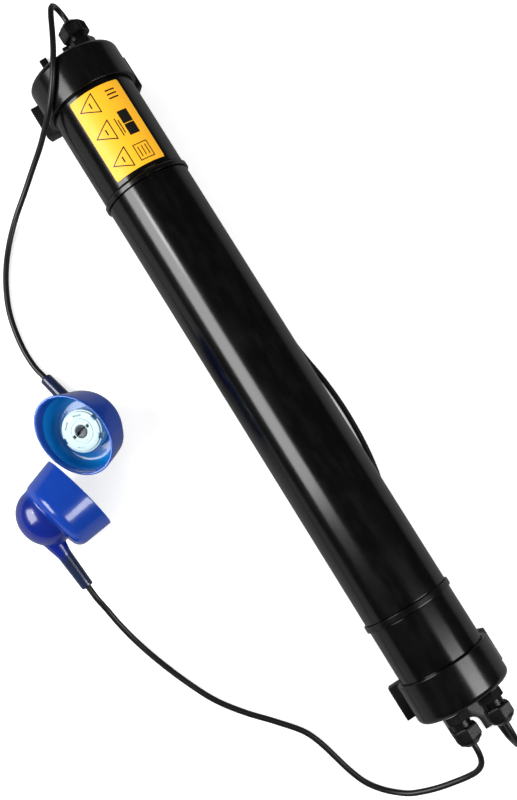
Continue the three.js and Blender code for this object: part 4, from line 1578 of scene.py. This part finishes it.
@dataclass
class LampEnd:
    """A soft boot with its lamp holder. The local frame has +Z out of the mouth, +X to the sleeve."""

    end: End
    base: Point
    mouth: Point
    towards_sleeve: Point
    along: float
    across: float
    rotor_turn: float
    cup: float = 39.5
    length: float = 40.0
    wall: float = 2.4
    bulb: Point = (31, 27, 28)
    bulb_shift: float = -7.0
    sleeve_start: Point = (14, 0, -11)
    sleeve_end: Point = (72, 0, -20)
    sleeve_root: float = 7.5
    sleeve_tip: float = 6.3
    holder: float = 22.0
    face: float = 20.0
    stem: float = 15.7
    rotor: float = 6.4
    contact_reach: float = 9.25
    notches: Sequence[float] = (-0.05, 0.72, 1.03)
    slits: Sequence[float] = (0.28, 1.35, 1.68)
    rim_band: float = 13.0
    voxel: float = 0.8

    def frame(self) -> Matrix:
        """The boot's own frame, in metres.

        Returns:
            The matrix.
        """
        z = Vector(self.mouth).normalized()
        x = Vector(self.towards_sleeve)
        x = (x - z * x.dot(z)).normalized()
        y = z.cross(x)
        return Matrix.Translation(Vector(self.base) * MM) @ Matrix((x, y, z)).transposed().to_4x4()

    def upright(self, name: str, outline: Sequence[Point], sides: int) -> bpy.types.Object:
        """A body of revolution about the boot's Z, from [z, radius] pairs."""
        return turned(name, outline, sides, place=Matrix.Rotation(-math.pi / 2, 4, "Y"))

    def oval(self, obj: bpy.types.Object) -> bpy.types.Object:
        """Spreads a cup from round at its base to an oval at its rim.

        Args:
            obj: the cup, with its base at z = 0.

        Returns:
            The same object.
        """
        for vertex in obj.data.vertices:
            share = self.flare(vertex.co.z / MM)
            vertex.co.x *= 1 + share * (self.along / self.cup - 1)
            vertex.co.y *= 1 + share * (self.across / self.cup - 1)
        return obj

    def flare(self, z: float) -> float:
        """How far the cup has spread at a height: little at the base, most of it near the rim."""
        share = min(1.0, max(0.0, z / self.length))
        return share * share * (3 - 2 * share)

    def build(self) -> None:
        """Makes the boot, the holder and the rotor."""
        self.boot()
        self.lamp_holder()

    def bar(self, name: str, start: Point, stop: Point, first: float, last: float) -> bpy.types.Object:
        """A straight round bar between two points, with a radius at each end.

        Args:
            name: the object's name.
            start: the middle of the first end.
            stop: the middle of the other end.
            first: the radius at the start.
            last: the radius at the stop.

        Returns:
            The new object.
        """
        a, b = Vector(start), Vector(stop)
        way = b - a
        turn = Vector((1, 0, 0)).rotation_difference(way).to_matrix().to_4x4()
        outline = [(0, 0), (0, first), (way.length, last), (way.length, 0)]
        return turned(name, outline, 40, place=Matrix.Translation(a * MM) @ turn)

    def ball(self, name: str, shrink: float) -> bpy.types.Object:
        """The bulb's ellipsoid, smaller by the wall if it is the inside.

        Args:
            name: the object's name.
            shrink: how much smaller it is than the outside.

        Returns:
            The new object.
        """
        bm = bmesh.new()
        bmesh.ops.create_uvsphere(bm, u_segments=64, v_segments=32, radius=1)
        size = [(s - shrink) * MM for s in self.bulb]
        bm.transform(Matrix.Translation((self.bulb_shift * MM, 0, 0)) @ Matrix.Diagonal((*size, 1)))
        return solid(bm, name)

    def boot(self) -> None:
        """Joins cup, bulb and sleeve, hollows them, and melts the joins into one soft skin."""
        base = [(0, 0), (0, self.cup), (self.length, self.cup), (self.length, 0)]
        shell = self.oval(self.upright("cup", rounded(base, {1: 9.5}, 10), 96))
        shell = combine(shell, Cut.JOIN, self.ball("bulb", 0))
        root = self.bar("root", (4, 0, -10), (34, 0, -14.1), 13, 6.9)
        shell = combine(shell, Cut.JOIN, root)
        sleeve = self.bar("sleeve", self.sleeve_start, self.sleeve_end, self.sleeve_root, self.sleeve_tip)
        shell = combine(shell, Cut.JOIN, sleeve)
        inner = self.cup - self.wall
        hollow = [(self.wall, 0), (self.wall, inner), (self.length + 3, inner), (self.length + 3, 0)]
        shell = combine(shell, Cut.CARVE, self.oval(self.upright("hollow", rounded(hollow, {1: 7.5}, 8), 96)))
        room = combine(self.ball("room", 3.0), Cut.CARVE, block("above", (-70, -70, 0), (70, 70, 70)))
        shell = combine(shell, Cut.CARVE, room)
        start, stop = Vector(self.sleeve_start), Vector(self.sleeve_end)
        beyond = stop + (stop - start) * 0.1
        shell = combine(shell, Cut.CARVE, self.bar("bore", start, beyond, 3.2, 3.2))
        hole = [(-3, 0), (-3, self.stem + 0.3), (self.wall + 1, self.stem + 0.3), (self.wall + 1, 0)]
        shell = combine(shell, Cut.CARVE, self.upright("stem", hole, 64))
        remesh = shell.modifiers.new("melt", "REMESH")
        remesh.mode = "VOXEL"
        remesh.voxel_size = self.voxel * MM
        remesh.adaptivity = 0
        ease = shell.modifiers.new("ease", "SMOOTH")
        ease.factor = 0.5
        ease.iterations = 14
        bpy.context.view_layer.update()
        bake(shell)
        self.tint(shell)
        shell.data.materials.clear()
        shell.data.materials.append(BOOT_VINYL.material())
        place_mesh(shell, self.frame())
        name = self.end.name.lower()
        shell.name = f"{name}_boot_shell"
        shell.data.shade_smooth()
        settle(shell, "housing", BOOT_VINYL.slot, f"{name}_boot")

    def tint(self, shell: bpy.types.Object) -> None:
        """Stores how far each point is inside the cup, on the bulb and on the sleeve.

        Args:
            shell: the boot, in its own frame.
        """
        names = ("inside", "rim", "bulb", "stem")
        layers = {name: shell.data.attributes.new(name, "FLOAT", "POINT") for name in names}
        for i, vertex in enumerate(shell.data.vertices):
            x, y, z = vertex.co / MM
            outward = Vector((x, y, 0)).normalized()
            inside = z > self.wall * 0.4 and vertex.normal.dot(outward) < vertex.normal.z
            deep = min(1.0, max(0.0, (self.length - self.rim_band - z) / 2))
            # inside the cup below the rim band: painted light through the wall; rim: painted highlight; bulb
            # and sleeve: painted shade
            layers["inside"].data[i].value = deep if inside else 0.0
            layers["rim"].data[i].value = min(1.0, max(0.0, (z - self.length + 1.6) / 1.2))
            layers["bulb"].data[i].value = 0.0 if z > 1 else min(1.0, (1 - z) / 5)
            layers["stem"].data[i].value = min(1.0, max(0.0, (x - 28) / 12)) if z < 1 else 0.0

    def lamp_holder(self) -> None:
        """The white holder: a drum with notches, a raised ring, a recess and two test holes."""
        face, radius = self.face, self.holder
        foot = self.wall + 0.3
        outline = [(-12, 0), (-12, self.stem), (foot, self.stem), (foot, radius), (face - 1.6, radius),
                   (face - 1.6, radius - 1.8), (face, radius - 1.8), (face, 13.2), (face + 0.5, 12.6),
                   (face + 0.5, 10.8), (face, 10.2), (face, 0)]
        drum = self.upright("drum", rounded(outline, {1: 1, 3: 0.6, 4: 0.6, 6: 0.6}, 4), 96)
        cut = [(face - 8, 0), (face - 8, self.rotor + 0.4), (face + 2, self.rotor + 0.4), (face + 2, 0)]
        drum = combine(drum, Cut.CARVE, self.upright("recess", cut, 48))
        for share in self.notches:
            notch = block("notch", (radius - 3, -3, face - 7), (radius + 2, 3, face + 1),
                          Matrix.Rotation(share * math.pi, 4, "Z"))
            drum = combine(drum, Cut.CARVE, notch)
        for share in self.slits:
            slit = block("slit", (radius - 6.4, -4.2, face - 1.2), (radius - 5.2, 4.2, face + 1),
                         Matrix.Rotation(share * math.pi, 4, "Z"))
            drum = combine(drum, Cut.CARVE, slit)
        for hand in (-1, 1):
            reach = hand * self.contact_reach
            pocket = block("pocket", (reach - 1.6, -1.6, face - 6), (reach + 1.6, 1.6, face + 2))
            drum = combine(drum, Cut.CARVE, pocket)
        soften(drum, 0.22, 2, 40)
        place = self.frame() @ Matrix.Rotation(self.rotor_turn, 4, "Z")
        place_mesh(drum, place)
        name = self.end.name.lower()
        drum.name = f"{name}_holder_body"
        drum.data.materials.clear()
        drum.data.materials.append(RESIN.material())
        settle(smooth(drum), "housing", RESIN.slot, f"{name}_lamp_holder")
        self.turning_piece(place)

    def turning_piece(self, place: Matrix) -> None:
        """The rotor: a short drum with a slot across it and a raised rim.

        Args:
            place: the holder's place.
        """
        low, high = self.face - 7.6, self.face + 0.6
        outline = [(low, 0), (low, self.rotor), (high, self.rotor), (high, self.rotor - 1.3),
                   (high - 0.5, self.rotor - 1.6), (high - 0.5, 0)]
        drum = self.upright("rotor", rounded(outline, {2: 0.4}, 3), 64)
        slot = block("slot", (-9, -1.4, self.face - 5), (9, 1.4, self.face + 2))
        drum = soften(combine(drum, Cut.CARVE, slot), 0.2, 2, 40)
        place_mesh(drum, place)
        name = self.end.name.lower()
        drum.name = f"{name}_holder_rotor"
        drum.data.materials.clear()
        drum.data.materials.append(ROTOR_GREY.material())
        settle(smooth(drum), f"{name}_rotor", ROTOR_GREY.slot, f"{name}_lamp_holder_rotor")


# ---------------------------------------------------------------- kept CAD nodes


@dataclass
class Interior:
    """The CAD nodes that keep their own shape, with the finish that each one has."""

    finishes: dict[str, Finish] = field(default_factory=lambda: {
        "gear_tray": ZINC, "ballast_case": ZINC, "ballast_cover": ZINC, "single_tray_screw": ZINC,
        "twin_tray_screw": ZINC, "single_terminal_block": RESIN, "twin_terminal_block": RESIN,
        "single_lead_wires": SHEATH, "twin_lead_wires": SHEATH, "mains_lead_wires": SHEATH,
        "single_ballast_wires": SHEATH, "twin_ballast_wires": SHEATH, "single_cap_seal": SEAL,
        "twin_cap_seal": SEAL, "single_gland_insert": SEAL, "twin_gland_insert": SEAL,
        "mains_gland_insert": SEAL, "single_gland_locknut": GLAND_NYLON, "twin_gland_locknut": GLAND_NYLON,
        "mains_gland_locknut": GLAND_NYLON, "single_lamp_holder_contact_1": BRASS,
        "single_lamp_holder_contact_2": BRASS, "twin_lamp_holder_contact_1": BRASS,
        "twin_lamp_holder_contact_2": BRASS})

    def build(self) -> None:
        """Gives each node its finish."""
        for node, finish in self.finishes.items():
            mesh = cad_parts[node].data
            mesh.materials.clear()
            mesh.materials.append(finish.material())
            LOG.info("node %s is %s", node, finish.name)


def main() -> None:
    """Builds the camera, the studio, the leads and then each sub-assembly."""
    logging.basicConfig(level=logging.INFO, format="%(name)s: %(message)s")
    ViewPoint().build()
    Studio().build()
    LampEnd(End.SINGLE, (-48.3, -173.9, 28.4), (0.083, -0.431, 0.896), (-0.954, -0.29, -0.05), 46, 34.5,
            1.41).build()
    LampEnd(End.TWIN, (13.2, -252.8, 40.0), (-0.2546, 0.9617, -0.105), (0.946, 0.25, -0.208), 43.5, 35.5,
            0.4).build()
    LampLead(End.SINGLE, SINGLE_ROUTE, (-406.5, 18.5, 78), 0.48).build()
    LampLead(End.TWIN, TWIN_ROUTE, (406.5, -18.5, 78), 0.53).build()
    MainsLead().build()
    Housing().build()
    RatingLabel().build()
    for end in End:
        ClipBracket(end).build()
    CableGland("single", End.SINGLE, 18.5, "single_nut", 26.4, 30).build()
    CableGland("twin", End.TWIN, -18.5, "twin_nut").build()
    CableGland("mains", End.TWIN, 18.5, "mains_nut").build()
    Interior().build()


if __name__ == "__main__":
    main()
